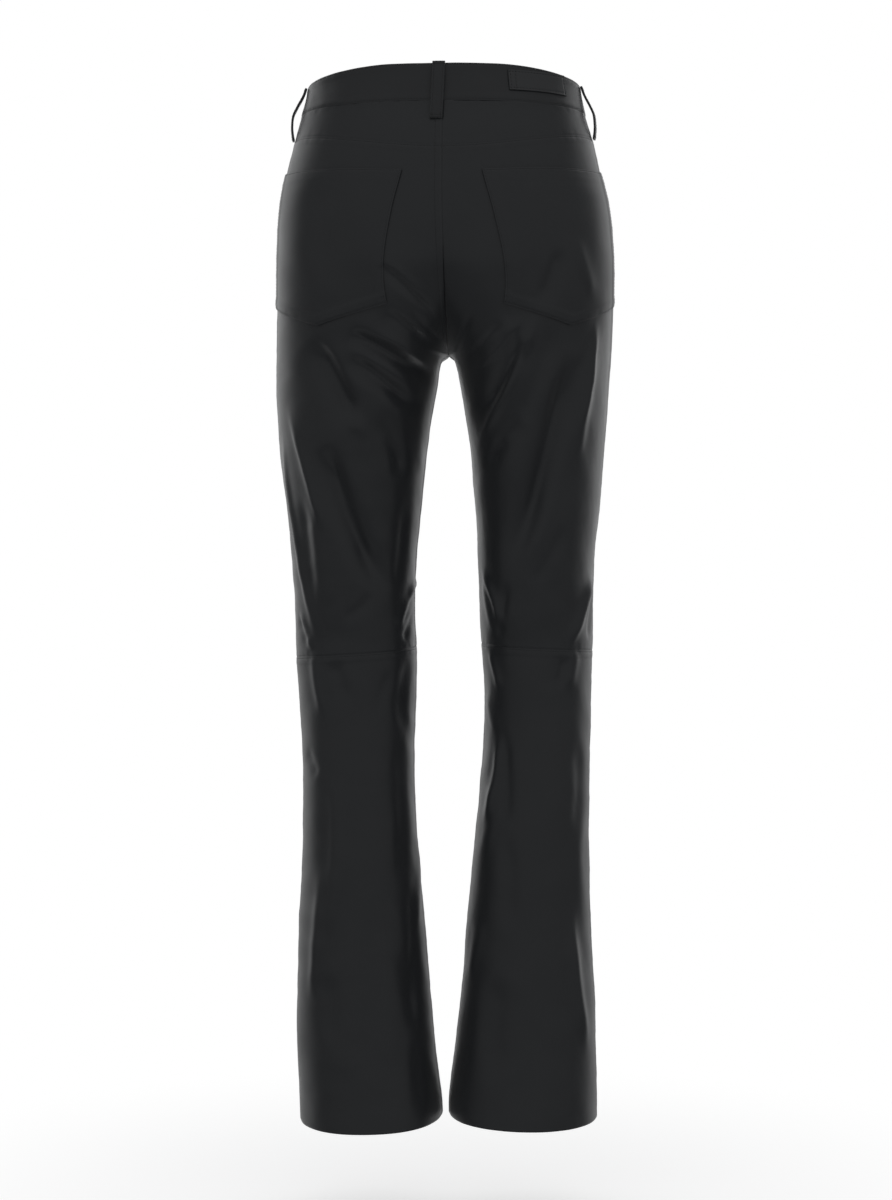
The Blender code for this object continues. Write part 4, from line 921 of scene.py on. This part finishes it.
def fill(tree, made, inputs):
    """Fill a node's inputs, by name or number: a socket is linked, and any other value is set."""
    for key, value in inputs.items():
        if isinstance(value, bpy.types.NodeSocket):
            tree.links.new(value, made.inputs[key])
        else:
            made.inputs[key].default_value = value


def node(tree, kind, inputs=None, **fields):
    """A shader node with its fields set and its inputs filled."""
    made = tree.nodes.new(kind)
    for name, value in fields.items():
        setattr(made, name, value)
    fill(tree, made, inputs or {})
    return made


def new_material(name):
    """A material, its tree and its shader, and where a point lies on its piece."""
    mat = bpy.data.materials.new(name)
    mat.use_nodes = True
    tree = mat.node_tree
    place = node(tree, "ShaderNodeTexCoord").outputs["Object"]
    return mat, tree, tree.nodes["Principled BSDF"], place


def noise(tree, place, scale, detail):
    inputs = {"Vector": place, "Scale": scale, "Detail": detail}
    return node(tree, "ShaderNodeTexNoise", inputs).outputs["Fac"]


def blend(tree, share, low, high):
    """A colour between two others."""
    inputs = {"Factor": share, "A": (*low, 1.0), "B": (*high, 1.0)}
    return node(tree, "ShaderNodeMix", inputs, data_type="RGBA").outputs["Result"]


def bumped(tree, height, strength):
    inputs = {"Height": height, "Strength": strength, "Distance": BUMP_DEPTH}
    return node(tree, "ShaderNodeBump", inputs).outputs["Normal"]


Finish = namedtuple("Finish", "colour worn rough_low rough_high grain coat")
FINISHES = {
    "leather": Finish((0.0185, 0.0210, 0.0245), (0.032, 0.035, 0.039), 0.31, 0.40, 0.10, 0.05),
    "leather_trim": Finish((0.0185, 0.0205, 0.0235), (0.032, 0.035, 0.038), 0.35, 0.46, 0.10, 0.03),
    "leather_patch": Finish((0.0330, 0.0350, 0.0385), (0.044, 0.047, 0.051), 0.34, 0.44, 0.08, 0.08),
}
GRAIN_CELL, PORE_CELL, TONE_PATCH = 0.0011, 0.0004, 0.06
GRAIN_EDGE = 0.12  # share of a grain cell over which it slopes down to its edge
TONE_LOW, TONE_HIGH = 0.3, 0.7  # the roughness runs from low to high between these tones


def leather_material(name, finish):
    """Satin leather with a fine grain, lighter where it is rubbed."""
    mat, tree, shader, place = new_material(name)
    tone = noise(tree, place, 1 / TONE_PATCH, 4.0)
    pores = noise(tree, place, 1 / PORE_CELL, 3.0)
    inputs = {"Vector": place, "Scale": 1 / GRAIN_CELL}
    grain = node(tree, "ShaderNodeTexVoronoi", inputs, feature="DISTANCE_TO_EDGE")
    wear = node(tree, "ShaderNodeAttribute", attribute_name="wear")
    inputs = {0: wear.outputs["Fac"], 1: tone}
    worn = node(tree, "ShaderNodeMath", inputs, operation="MULTIPLY", use_clamp=True)
    inputs = {"From Min": TONE_LOW, "From Max": TONE_HIGH}
    inputs |= {"Value": tone, "To Min": finish.rough_low, "To Max": finish.rough_high}
    rough = node(tree, "ShaderNodeMapRange", inputs)
    inputs = {"Value": grain.outputs["Distance"], "From Max": GRAIN_EDGE}
    cells = node(tree, "ShaderNodeMapRange", inputs)
    inputs = {0: cells.outputs["Result"], 1: pores}
    height = node(tree, "ShaderNodeMath", inputs, operation="ADD")
    looks = {
        "Base Color": blend(tree, worn.outputs[0], finish.colour, finish.worn),
        "Roughness": rough.outputs["Result"],
        "Normal": bumped(tree, height.outputs[0], finish.grain),
        "Coat Weight": finish.coat,
        "Coat Roughness": 0.3,
        "Sheen Weight": 0.25,
        "Sheen Roughness": 0.5,
    }
    fill(tree, shader, looks)
    return mat


def mottled_material(name, colour, shares, scale, detail, looks):
    """A material whose colour varies finely between two shares of itself, and that variation."""
    mat, tree, shader, place = new_material(name)
    mottle = noise(tree, place, scale, detail)
    low, high = ([c * share for c in colour] for share in shares)
    fill(tree, shader, {"Base Color": blend(tree, mottle, low, high)} | looks)
    return mat, mottle


def suede_material(name, colour):
    looks = {"Roughness": 0.92, "Specular IOR Level": 0.2}
    mat, nap = mottled_material(name, colour, (0.7, 1.3), 700.0, 4.0, looks)
    tree = mat.node_tree
    fill(tree, tree.nodes["Principled BSDF"], {"Normal": bumped(tree, nap, 0.4)})
    return mat


def metal_material(name, colour):
    mat, scuff = mottled_material(name, colour, (0.8, 1.2), 900.0, 5.0, {"Metallic": 1.0})
    tree = mat.node_tree
    rough = node(tree, "ShaderNodeMapRange", {"Value": scuff, "To Min": 0.25, "To Max": 0.5})
    fill(tree, tree.nodes["Principled BSDF"], {"Roughness": rough.outputs["Result"]})
    return mat


LEATHERS = {slot: leather_material(slot, finish) for slot, finish in FINISHES.items()}
SUEDE = suede_material("suede_side", (0.012, 0.012, 0.013))
THREAD_LOOKS = {"Roughness": 0.55, "Sheen Weight": 0.15}
THREAD = mottled_material("thread", (0.012, 0.013, 0.015), (0.8, 1.25), 2500.0, 2.0, THREAD_LOOKS)[0]
METAL = metal_material("button_metal", (0.16, 0.155, 0.15))


# ---------------------------------------------------------------- meshes


def make_object(name, points, faces, materials, slots=None, wear=None):
    """An object at the origin from millimetre points."""
    mesh = bpy.data.meshes.new(name)
    mesh.from_pydata((np.asarray(points) * MM).tolist(), [], faces)
    for mat in materials:
        mesh.materials.append(mat)
    if slots is not None:
        mesh.polygons.foreach_set("material_index", slots)
    if wear is not None:
        layer = mesh.attributes.new("wear", "FLOAT", "POINT")
        layer.data.foreach_set("value", wear)
    mesh.shade_smooth()
    mesh.update()
    obj = bpy.data.objects.new(name, mesh)
    bpy.context.scene.collection.objects.link(obj)
    return obj


def quads(rows, cols, offset, flip):
    """The faces of a grid whose points are numbered from the offset."""
    r, c = np.meshgrid(np.arange(rows - 1), np.arange(cols - 1), indexing="ij")
    at = offset + r * cols + c
    corners = [at, at + cols, at + cols + 1, at + 1]
    if flip:
        corners = corners[::-1]
    return np.stack(corners, axis=-1).reshape(-1, 4)


def tube_faces(rows, cols, base=0):
    """Faces of a tube whose rows close on themselves."""
    faces = []
    for r in range(rows - 1):
        for c in range(cols):
            a, b = base + r * cols + c, base + r * cols + (c + 1) % cols
            faces.append([a, b, b + cols, a + cols])
    return faces


def capped_tube(rows, cols, base=0):
    """Faces of such a tube with a flat end on its first and last rows."""
    last = base + (rows - 1) * cols
    ends = [list(range(base + cols - 1, base - 1, -1)), list(range(last, last + cols))]
    return tube_faces(rows, cols, base) + ends


def face_outward(obj):
    bm = bmesh.new()
    bm.from_mesh(obj.data)
    bmesh.ops.recalc_face_normals(bm, faces=bm.faces)
    bm.to_mesh(obj.data)
    bm.free()


WEAR_AT, WEAR_WIDTH, WEAR_LEAST = 1.2, 0.8, 0.4


def wear_of(piece):
    """How rubbed the hide is: most where a seam's edge stands out."""
    worn = np.zeros(piece.outer.shape[:2])
    for edge, look in piece.looks.items():
        ridge = np.exp(-(((piece.gaps[edge] - WEAR_AT) / WEAR_WIDTH) ** 2))
        worn = np.maximum(worn, ridge * (WEAR_LEAST + look.bulge))
    return worn.ravel()


def closed_shell(name, piece, slot):
    """A closed shell of leather over a piece's grid."""
    rows, cols = piece.outer.shape[:2]
    count = rows * cols
    points = np.concatenate([piece.outer.reshape(-1, 3), piece.inner.reshape(-1, 3)])
    middle = piece.outer[rows // 2, cols // 2]
    across = piece.outer[rows // 2, cols // 2 + 1] - middle
    down = piece.outer[rows // 2 + 1, cols // 2] - middle
    flip = np.dot(np.cross(down, across), piece.normal[rows // 2, cols // 2]) < 0
    outer = quads(rows, cols, 0, flip)
    inner = quads(rows, cols, count, not flip)
    rim = list(range(cols)) + [r * cols + cols - 1 for r in range(1, rows)]
    rim += [(rows - 1) * cols + c for c in range(cols - 2, -1, -1)]
    rim += [r * cols for r in range(rows - 2, 0, -1)]
    a, b = np.array(rim), np.array(rim[1:] + rim[:1])
    sides = np.stack([a, b, b + count, a + count], axis=1)
    if not flip:
        sides = sides[:, ::-1]
    faces = np.concatenate([outer, inner, sides])
    slots = np.repeat([0, 1], [len(outer), len(inner) + len(sides)])
    wear = np.concatenate([wear_of(piece), np.zeros(count)])
    obj = make_object(name, points, faces.tolist(), [LEATHERS[slot], SUEDE], slots, wear)
    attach(obj, "root")
    return obj


def shell(piece, slot):
    """A piece's closed shell, which stands for its solid; the solid itself is hidden."""
    obj = closed_shell(f"{piece.name}_shell", piece, slot)
    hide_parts(piece.name)


ALLOWANCE_MARKS = 8  # how many of a piece's columns its allowance reaches back over
ALLOWANCE_SINK, ALLOWANCE_THICK = 0.12, 0.5


def allowance(name, left, right):
    """The allowances of a centre seam, pressed flat inside it from the crotch up."""
    rows = left.outer[:, -1, 2] > CROTCH_Z
    back = slice(None, -ALLOWANCE_MARKS - 1, -1)

    def by_seam(of_left, of_right):
        return np.concatenate([of_left[rows][:, -ALLOWANCE_MARKS:], of_right[rows][:, back]], axis=1)

    normal = by_seam(left.normal, right.normal)
    outer = by_seam(left.inner, right.inner) - normal * ALLOWANCE_SINK
    inner = outer - normal * ALLOWANCE_THICK
    closed_shell(name, Piece(name, outer, inner, normal, {}, {}), "leather")


# ---------------------------------------------------------------- sewing

STITCH_PITCH, STITCH_LONG, STITCH_WIDE = 3.2, 2.5, 0.52
StitchRing = namedtuple("StitchRing", "along size lift")
STITCH_RINGS = table(
    StitchRing,
    (-1.0, 0.30, -0.22), (-0.75, 0.85, -0.04), (0.0, 1.0, 0.06), (0.75, 0.85, -0.04),
    (1.0, 0.30, -0.22),
)
STITCH_SIDES = 6
STITCH_CHORD = 0.4  # a stitch heads from this share of its length behind its middle to as far ahead
MOUTH_SEWN = (0.02, 0.97)  # the mouth's edge is sewn between these shares of its turn
Stitch = namedtuple("Stitch", "point ahead out length")


def stitches_on(path, out):
    """Even stitches along a line that lies on the leather."""
    run = np.concatenate([[0], np.cumsum(np.linalg.norm(np.diff(path, axis=0), axis=1))])
    count = int(run[-1] / STITCH_PITCH)
    if count < 1:
        return []

    def read(rows, at):
        return np.stack([np.interp(at, run, rows[:, i]) for i in range(3)], axis=1)

    at = (np.arange(count) + 0.5) * run[-1] / count
    point, normal = read(path, at), unit(read(out, at))
    reach = STITCH_CHORD * STITCH_LONG
    ahead = unit(read(path, at + reach) - read(path, at - reach))
    return [Stitch(p, a, n, STITCH_LONG) for p, a, n in zip(point, ahead, normal)]


def mouth_line(side, gap):
    """The line on a front that keeps this gap to its pocket's mouth."""
    panel = PANELS[side, FRONT]
    size = 1 + 2 * gap / (MOUTH_WIDTH + MOUTH_DEPTH)
    turn = np.linspace(*MOUTH_SEWN, MOUTH_STEPS) * 0.5 * math.pi
    across = MOUTH_WIDTH * size * np.cos(turn) ** (2 / MOUTH_ROUND)
    level = BAND_BOTTOM_Z - MOUTH_DEPTH * size * np.sin(turn) ** (2 / MOUTH_ROUND)
    s = across / panel.length(level)
    base, normal = panel.read(s, panel_row(side, FRONT, level, s))
    height = fold_height(base, side) + swell(base, PANEL_SEEDS[side]) * swell_share(base[:, 2])
    height += seam_relief(MOUTH, gap, base[:, 2])
    return base + normal * height[:, None], normal


def sewn_rows(piece):
    """The stitches of every row that the piece's seams carry."""
    made = []
    for edge, look in piece.looks.items():
        for row in look.rows:
            line = mouth_line(piece.side, row) if edge == "mouth" else piece.line(edge, row)
            made += stitches_on(*line)
    return made


def stitch_mesh(name, stitches):
    """One joined mesh of small capsules."""
    turns = 2 * math.pi * np.arange(STITCH_SIDES) / STITCH_SIDES
    cos, sin = np.cos(turns)[:, None], np.sin(turns)[:, None]
    points, faces = [], []
    for k, stitch in enumerate(stitches):
        across = np.cross(stitch.out, stitch.ahead)
        for ring in STITCH_RINGS:
            middle = stitch.point + stitch.ahead * ring.along * 0.5 * stitch.length
            middle = middle + stitch.out * ring.lift
            radius = 0.5 * STITCH_WIDE * ring.size
            points.append(middle + radius * (cos * across + sin * stitch.out))
        base = k * len(STITCH_RINGS) * STITCH_SIDES
        faces += capped_tube(len(STITCH_RINGS), STITCH_SIDES, base)
    obj = make_object(name, np.concatenate(points), faces, [THREAD])
    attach(obj, "root")


# ---------------------------------------------------------------- belt loops

LOOP_THICK = 2.4
LOOP_WIDE = 12.7
FLAT_LOOP = [(9.5, 1.1), (0, 2.0), (-14, 2.6), (-30, 2.5), (-42, 1.4), (-48, 0.6)]
PROUD_LOOP = [(-1, 1.1), (-9, 2.8), (-20, 6.0), (-30, 7.8), (-40, 6.2), (-48, 3.6), (-54.5, 0.7)]
FRONT_LOOP = [(-2.5, 1.1), (-12, 2.1), (-25, 2.6), (-36, 2.4), (-46, 1.3), (-51, 0.6)]
Loop = namedtuple("Loop", "name turn skew path")
LOOPS = [
    Loop("belt_loop_back", 0.022, -2.0, FLAT_LOOP),
    Loop("belt_loop_side_left", 1.0, 0.0, PROUD_LOOP),
    Loop("belt_loop_side_right", -1.0, 0.0, PROUD_LOOP),
    Loop("belt_loop_front_left", 1.62, 0.0, FRONT_LOOP),
    Loop("belt_loop_front_right", -1.62, 0.0, FRONT_LOOP),
]
LOOP_ROWS = 64
LOOP_SIDES = 28
LOOP_SQUARE = 5.0
LOOP_NUDGE = 0.02  # half the step along the ring that a loop's direction is measured over
LOOP_STITCH_AT = 4.3
LOOP_GROOVE_WIDTH, LOOP_GROOVE_DEPTH, LOOP_STITCH_SINK = 0.6, 0.25, 0.2
TACK_ROWS, TACK_FROM_END, TACK_STITCH = 11, 3.0, 1.7
TACK_SHARE, TACK_LIFT, TACK_LEAN = 0.42, 0.15, 0.12
LoopPoint = namedtuple("LoopPoint", "z stand")


def belt_loop(loop):
    """A doubled strip with rounded edges, a row of stitches by each and a bar tack at both ends."""
    path = table(LoopPoint, *loop.path)
    high, low = float(path[0].z), float(path[-1].z)
    ends, _ = around([loop.turn - LOOP_NUDGE, loop.turn + LOOP_NUDGE], BAND_BOTTOM_Z)
    across = unit(ends[1] - ends[0])
    out = unit(np.cross([0, 0, 1], across))
    out = out if out @ ends[0] > 0 else -out
    levels = np.linspace(high, low, LOOP_ROWS)
    share = (high - levels) / (high - low)
    base, _ = around(loop.turn, levels)
    middle = base + out * (column(path, "stand")(levels) + 0.5 * LOOP_THICK)[:, None]
    middle = middle - across * (loop.skew * share)[:, None]
    run = np.gradient(middle, axis=0)
    face_out = unit(np.cross(across, run))
    face_out *= np.sign(face_out @ out)[:, None]
    turn = 2 * math.pi * np.arange(LOOP_SIDES) / LOOP_SIDES
    c, s = np.cos(turn), np.sin(turn)
    wide = 0.5 * LOOP_WIDE * np.sign(c) * np.abs(c) ** (2 / LOOP_SQUARE)
    deep = 0.5 * LOOP_THICK * np.sign(s) * np.abs(s) ** (2 / LOOP_SQUARE)
    groove = np.exp(-(((np.abs(wide) - LOOP_STITCH_AT) / LOOP_GROOVE_WIDTH) ** 2))
    deep = (deep - groove * LOOP_GROOVE_DEPTH * (s > 0))[None, :, None]
    points = middle[:, None] + wide[None, :, None] * across + deep * face_out[:, None]
    faces = capped_tube(LOOP_ROWS, LOOP_SIDES)
    obj = make_object(f"{loop.name}_strip", points.reshape(-1, 3), faces, [LEATHERS["leather_trim"]])
    face_outward(obj)
    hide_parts(loop.name)
    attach(obj, "root")
    along = np.concatenate([[0], np.cumsum(np.linalg.norm(np.diff(middle, axis=0), axis=1))])
    length = float(along[-1])
    made = []
    face = middle + face_out * (0.5 * LOOP_THICK - LOOP_STITCH_SINK)
    for edge in (-LOOP_STITCH_AT, LOOP_STITCH_AT):
        made += stitches_on(face + across * edge, face_out)
    for place in (TACK_FROM_END, length - TACK_FROM_END):
        k = int(np.argmin(np.abs(along - place)))
        ahead = unit(run[k] + across * TACK_LEAN)
        for step in np.linspace(-TACK_SHARE, TACK_SHARE, TACK_ROWS):
            point = face[k] + across * step * LOOP_WIDE + face_out[k] * TACK_LIFT
            made.append(Stitch(point, ahead, face_out[k], TACK_STITCH))
    return made


# ---------------------------------------------------------------- waist button

BUTTON_Z = -21.0
BUTTON_LIFT, BUTTON_TOP = 0.3, 2.95
BUTTON_SIDES = 56
ButtonRing = namedtuple("ButtonRing", "radius out")
BUTTON_RINGS = table(
    ButtonRing,
    (7.6, 0.0), (8.1, 0.2), (8.45, 0.7), (8.5, 1.2), (8.25, 1.75), (7.7, 2.1), (7.0, 2.2), (6.4, 2.05),
    (6.0, 1.85), (5.6, 1.95), (4.6, 2.35), (3.2, 2.7), (1.6, 2.9),
)


def waist_button():
    """A pressed cap with a rolled rim and a plain dome."""
    base, normal = around(-2.0, BUTTON_Z)
    base = base + normal * (BAND_PROUD + OVERLAP_LIFT + BUTTON_LIFT)
    across = unit(np.cross(normal, [0, 0, 1]))
    up = np.cross(across, normal)
    turn = 2 * math.pi * np.arange(BUTTON_SIDES) / BUTTON_SIDES
    spokes = np.cos(turn)[:, None] * across + np.sin(turn)[:, None] * up
    rings = [base + normal * ring.out + spokes * ring.radius for ring in BUTTON_RINGS]
    points = np.concatenate(rings + [[base], [base + normal * BUTTON_TOP]])
    faces = tube_faces(len(BUTTON_RINGS), BUTTON_SIDES)
    low, top = len(points) - 2, len(points) - 1
    last = (len(BUTTON_RINGS) - 1) * BUTTON_SIDES
    for c in range(BUTTON_SIDES):
        nxt = (c + 1) % BUTTON_SIDES
        faces.append([low, nxt, c])
        faces.append([top, last + c, last + nxt])
    obj = make_object("waist_button_cap", points, faces, [METAL])
    face_outward(obj)
    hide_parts("waist_button")
    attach(obj, "root")


# ---------------------------------------------------------------- the garment

sewn = {}
for side in (LEFT, RIGHT):
    for piece in (
        yoke(side),
        upper_back(side),
        upper_front(side),
        facing(side),
        lower_leg(side, BACK),
        lower_leg(side, FRONT),
        back_pocket(side),
    ):
        sewn[piece.name] = piece
        shell(piece, "leather")
        rows = sewn_rows(piece)
        if rows:
            stitch_mesh(f"stitches_{piece.name}", rows)

for part in ("yoke", "back", "front"):
    allowance(f"allowance_{part}", sewn[f"{part}_left"], sewn[f"{part}_right"])

fly_piece = fly()
shell(fly_piece, "leather_trim")
stitch_mesh("stitches_fly", sewn_rows(fly_piece))

band = waistband()
shell(band, "leather_trim")
stitch_mesh("stitches_waistband", sewn_rows(band))

patch = waistband_patch()
shell(patch, "leather_patch")
stitch_mesh("stitches_patch", sewn_rows(patch))

loop_stitches = []
for loop in LOOPS:
    loop_stitches += belt_loop(loop)
stitch_mesh("stitches_belt_loops", loop_stitches)

waist_button()


# ---------------------------------------------------------------- stage, camera and light

WHITE = (1.0, 1.0, 1.0, 1.0)
FLOOR_Z, FLOOR_RADIUS, FLOOR_SIDES = -1.13, 0.75, 96
FLOOR_GREY, FLOOR_ROUGH, FLOOR_GLOW = 0.8, 0.9, 0.55
FLOOR_FADE_FROM, FLOOR_FADE_TO = 0.2, 0.98  # shares of the radius
CAMERA_AZIMUTH, CAMERA_DISTANCE, CAMERA_Z = 182.0, 2.5, -0.520
CAMERA_LENS, CAMERA_SENSOR = 73.5, 36.0


def stage_floor():
    """A pale round floor that fades to the white of the room at its rim."""
    at = (0, 0, FLOOR_Z)
    bpy.ops.mesh.primitive_circle_add(
        vertices=FLOOR_SIDES, radius=FLOOR_RADIUS, fill_type="NGON", location=at
    )
    floor = bpy.context.object
    floor.name = "floor"
    mat, tree, shader, place = new_material("pale_floor")
    looks = {"Base Color": (FLOOR_GREY, FLOOR_GREY, FLOOR_GREY, 1.0), "Roughness": FLOOR_ROUGH}
    fill(tree, shader, looks | {"Emission Color": WHITE, "Emission Strength": FLOOR_GLOW})
    rim = node(tree, "ShaderNodeEmission", {"Color": WHITE, "Strength": 1.0})
    away = node(tree, "ShaderNodeVectorMath", {0: place}, operation="LENGTH")
    inputs = {"Value": away.outputs["Value"]}
    inputs |= {"From Min": FLOOR_FADE_FROM * FLOOR_RADIUS, "From Max": FLOOR_FADE_TO * FLOOR_RADIUS}
    fade = node(tree, "ShaderNodeMapRange", inputs, interpolation_type="SMOOTHSTEP")
    inputs = {0: fade.outputs["Result"], 1: shader.outputs[0], 2: rim.outputs[0]}
    mix = node(tree, "ShaderNodeMixShader", inputs)
    fill(tree, tree.nodes["Material Output"], {"Surface": mix.outputs[0]})
    floor.data.materials.append(mat)
    floor.visible_glossy = False
    floor.visible_diffuse = False


def place_camera():
    turn = math.radians(CAMERA_AZIMUTH)
    toward = Vector((-math.sin(turn), math.cos(turn), 0.0))
    data = bpy.data.cameras.new("photo")
    data.lens = CAMERA_LENS
    data.sensor_width = CAMERA_SENSOR
    camera = bpy.data.objects.new("photo", data)
    camera.location = Vector((0, 0, CAMERA_Z)) - toward * CAMERA_DISTANCE
    camera.rotation_euler = toward.to_track_quat("-Z", "Y").to_euler()
    bpy.context.scene.collection.objects.link(camera)
    bpy.context.scene.camera = camera


def soft_light(name, place, aim, size, power):
    """A rectangular light that faces the point it is aimed at."""
    data = bpy.data.lights.new(name, "AREA")
    data.shape = "RECTANGLE"
    data.size, data.size_y = size
    data.energy = power
    light = bpy.data.objects.new(name, data)
    light.location = place
    light.rotation_euler = (Vector(aim) - Vector(place)).to_track_quat("-Z", "Y").to_euler()
    bpy.context.scene.collection.objects.link(light)


# How bright the room is from the far side, 0, to where the photograph was taken, 1, and from under
# the trousers, 0, to over them, 1.
Stop = namedtuple("Stop", "place level")
ROOM_DEPTH = table(
    Stop,
    (0.0, 1.0), (0.26, 0.98), (0.36, 0.50), (0.44, 0.12),
    (0.55, 0.12), (0.66, 0.26), (0.80, 0.33), (1.0, 0.35),
)
ROOM_HEIGHT = table(
    Stop, (0.0, 1.6), (0.14, 1.2), (0.3, 0.3), (0.38, 0.5), (0.46, 1.0), (1.0, 1.1)
)
ROOM_TINT = (0.99, 0.995, 1.0)
ROOM_SKEW = 0.16  # the white behind reaches less far round on the wearer's right
ROOM_RAKE = 0.2  # near the photographer the room is bright further down


def level_ramp(tree, value, stops):
    """A smooth run of levels over a value between -1 and 1."""
    share = node(tree, "ShaderNodeMapRange", {"Value": value, "From Min": -1.0})
    ramp = node(tree, "ShaderNodeValToRGB", {"Fac": share.outputs["Result"]})
    ramp.color_ramp.interpolation = "B_SPLINE"
    while len(ramp.color_ramp.elements) < len(stops):
        ramp.color_ramp.elements.new(0.5)
    for element, stop in zip(ramp.color_ramp.elements, stops):
        element.position = stop.place
        element.color = (*[stop.level * part for part in ROOM_TINT], 1.0)
    return ramp.outputs["Color"]


def studio():
    """A room that shows as plain white, and whose light on the leather is bright from the far side,
    dark round the middle and dim from where the photograph was taken."""
    world = bpy.data.worlds.new("studio")
    bpy.context.scene.world = world
    world.use_nodes = True
    tree = world.node_tree
    tree.nodes.clear()
    direction = node(tree, "ShaderNodeTexCoord").outputs["Generated"]
    split = node(tree, "ShaderNodeSeparateXYZ", {0: direction}).outputs
    right = node(tree, "ShaderNodeMath", {0: split["X"], 1: 0.0}, operation="MINIMUM")
    inputs = {0: right.outputs[0], 1: -ROOM_SKEW, 2: split["Y"]}
    along = node(tree, "ShaderNodeMath", inputs, operation="MULTIPLY_ADD")
    inputs = {0: split["Y"], 1: ROOM_RAKE, 2: split["Z"]}
    up = node(tree, "ShaderNodeMath", inputs, operation="MULTIPLY_ADD")
    depth = level_ramp(tree, along.outputs[0], ROOM_DEPTH)
    height = level_ramp(tree, up.outputs[0], ROOM_HEIGHT)
    room = node(tree, "ShaderNodeBackground", {"Color": depth, "Strength": height})
    white = node(tree, "ShaderNodeBackground", {"Color": WHITE})
    path = node(tree, "ShaderNodeLightPath")
    inputs = {0: path.outputs["Is Camera Ray"], 1: room.outputs[0], 2: white.outputs[0]}
    mix = node(tree, "ShaderNodeMixShader", inputs)
    node(tree, "ShaderNodeOutputWorld", {"Surface": mix.outputs[0]})


stage_floor()
place_camera()
studio()
soft_light("overhead", place=(0.0, 0.6, 1.6), aim=(0, 0, -0.4), size=(2.4, 1.6), power=1.0)
bpy.context.scene.view_settings.view_transform = "Standard"
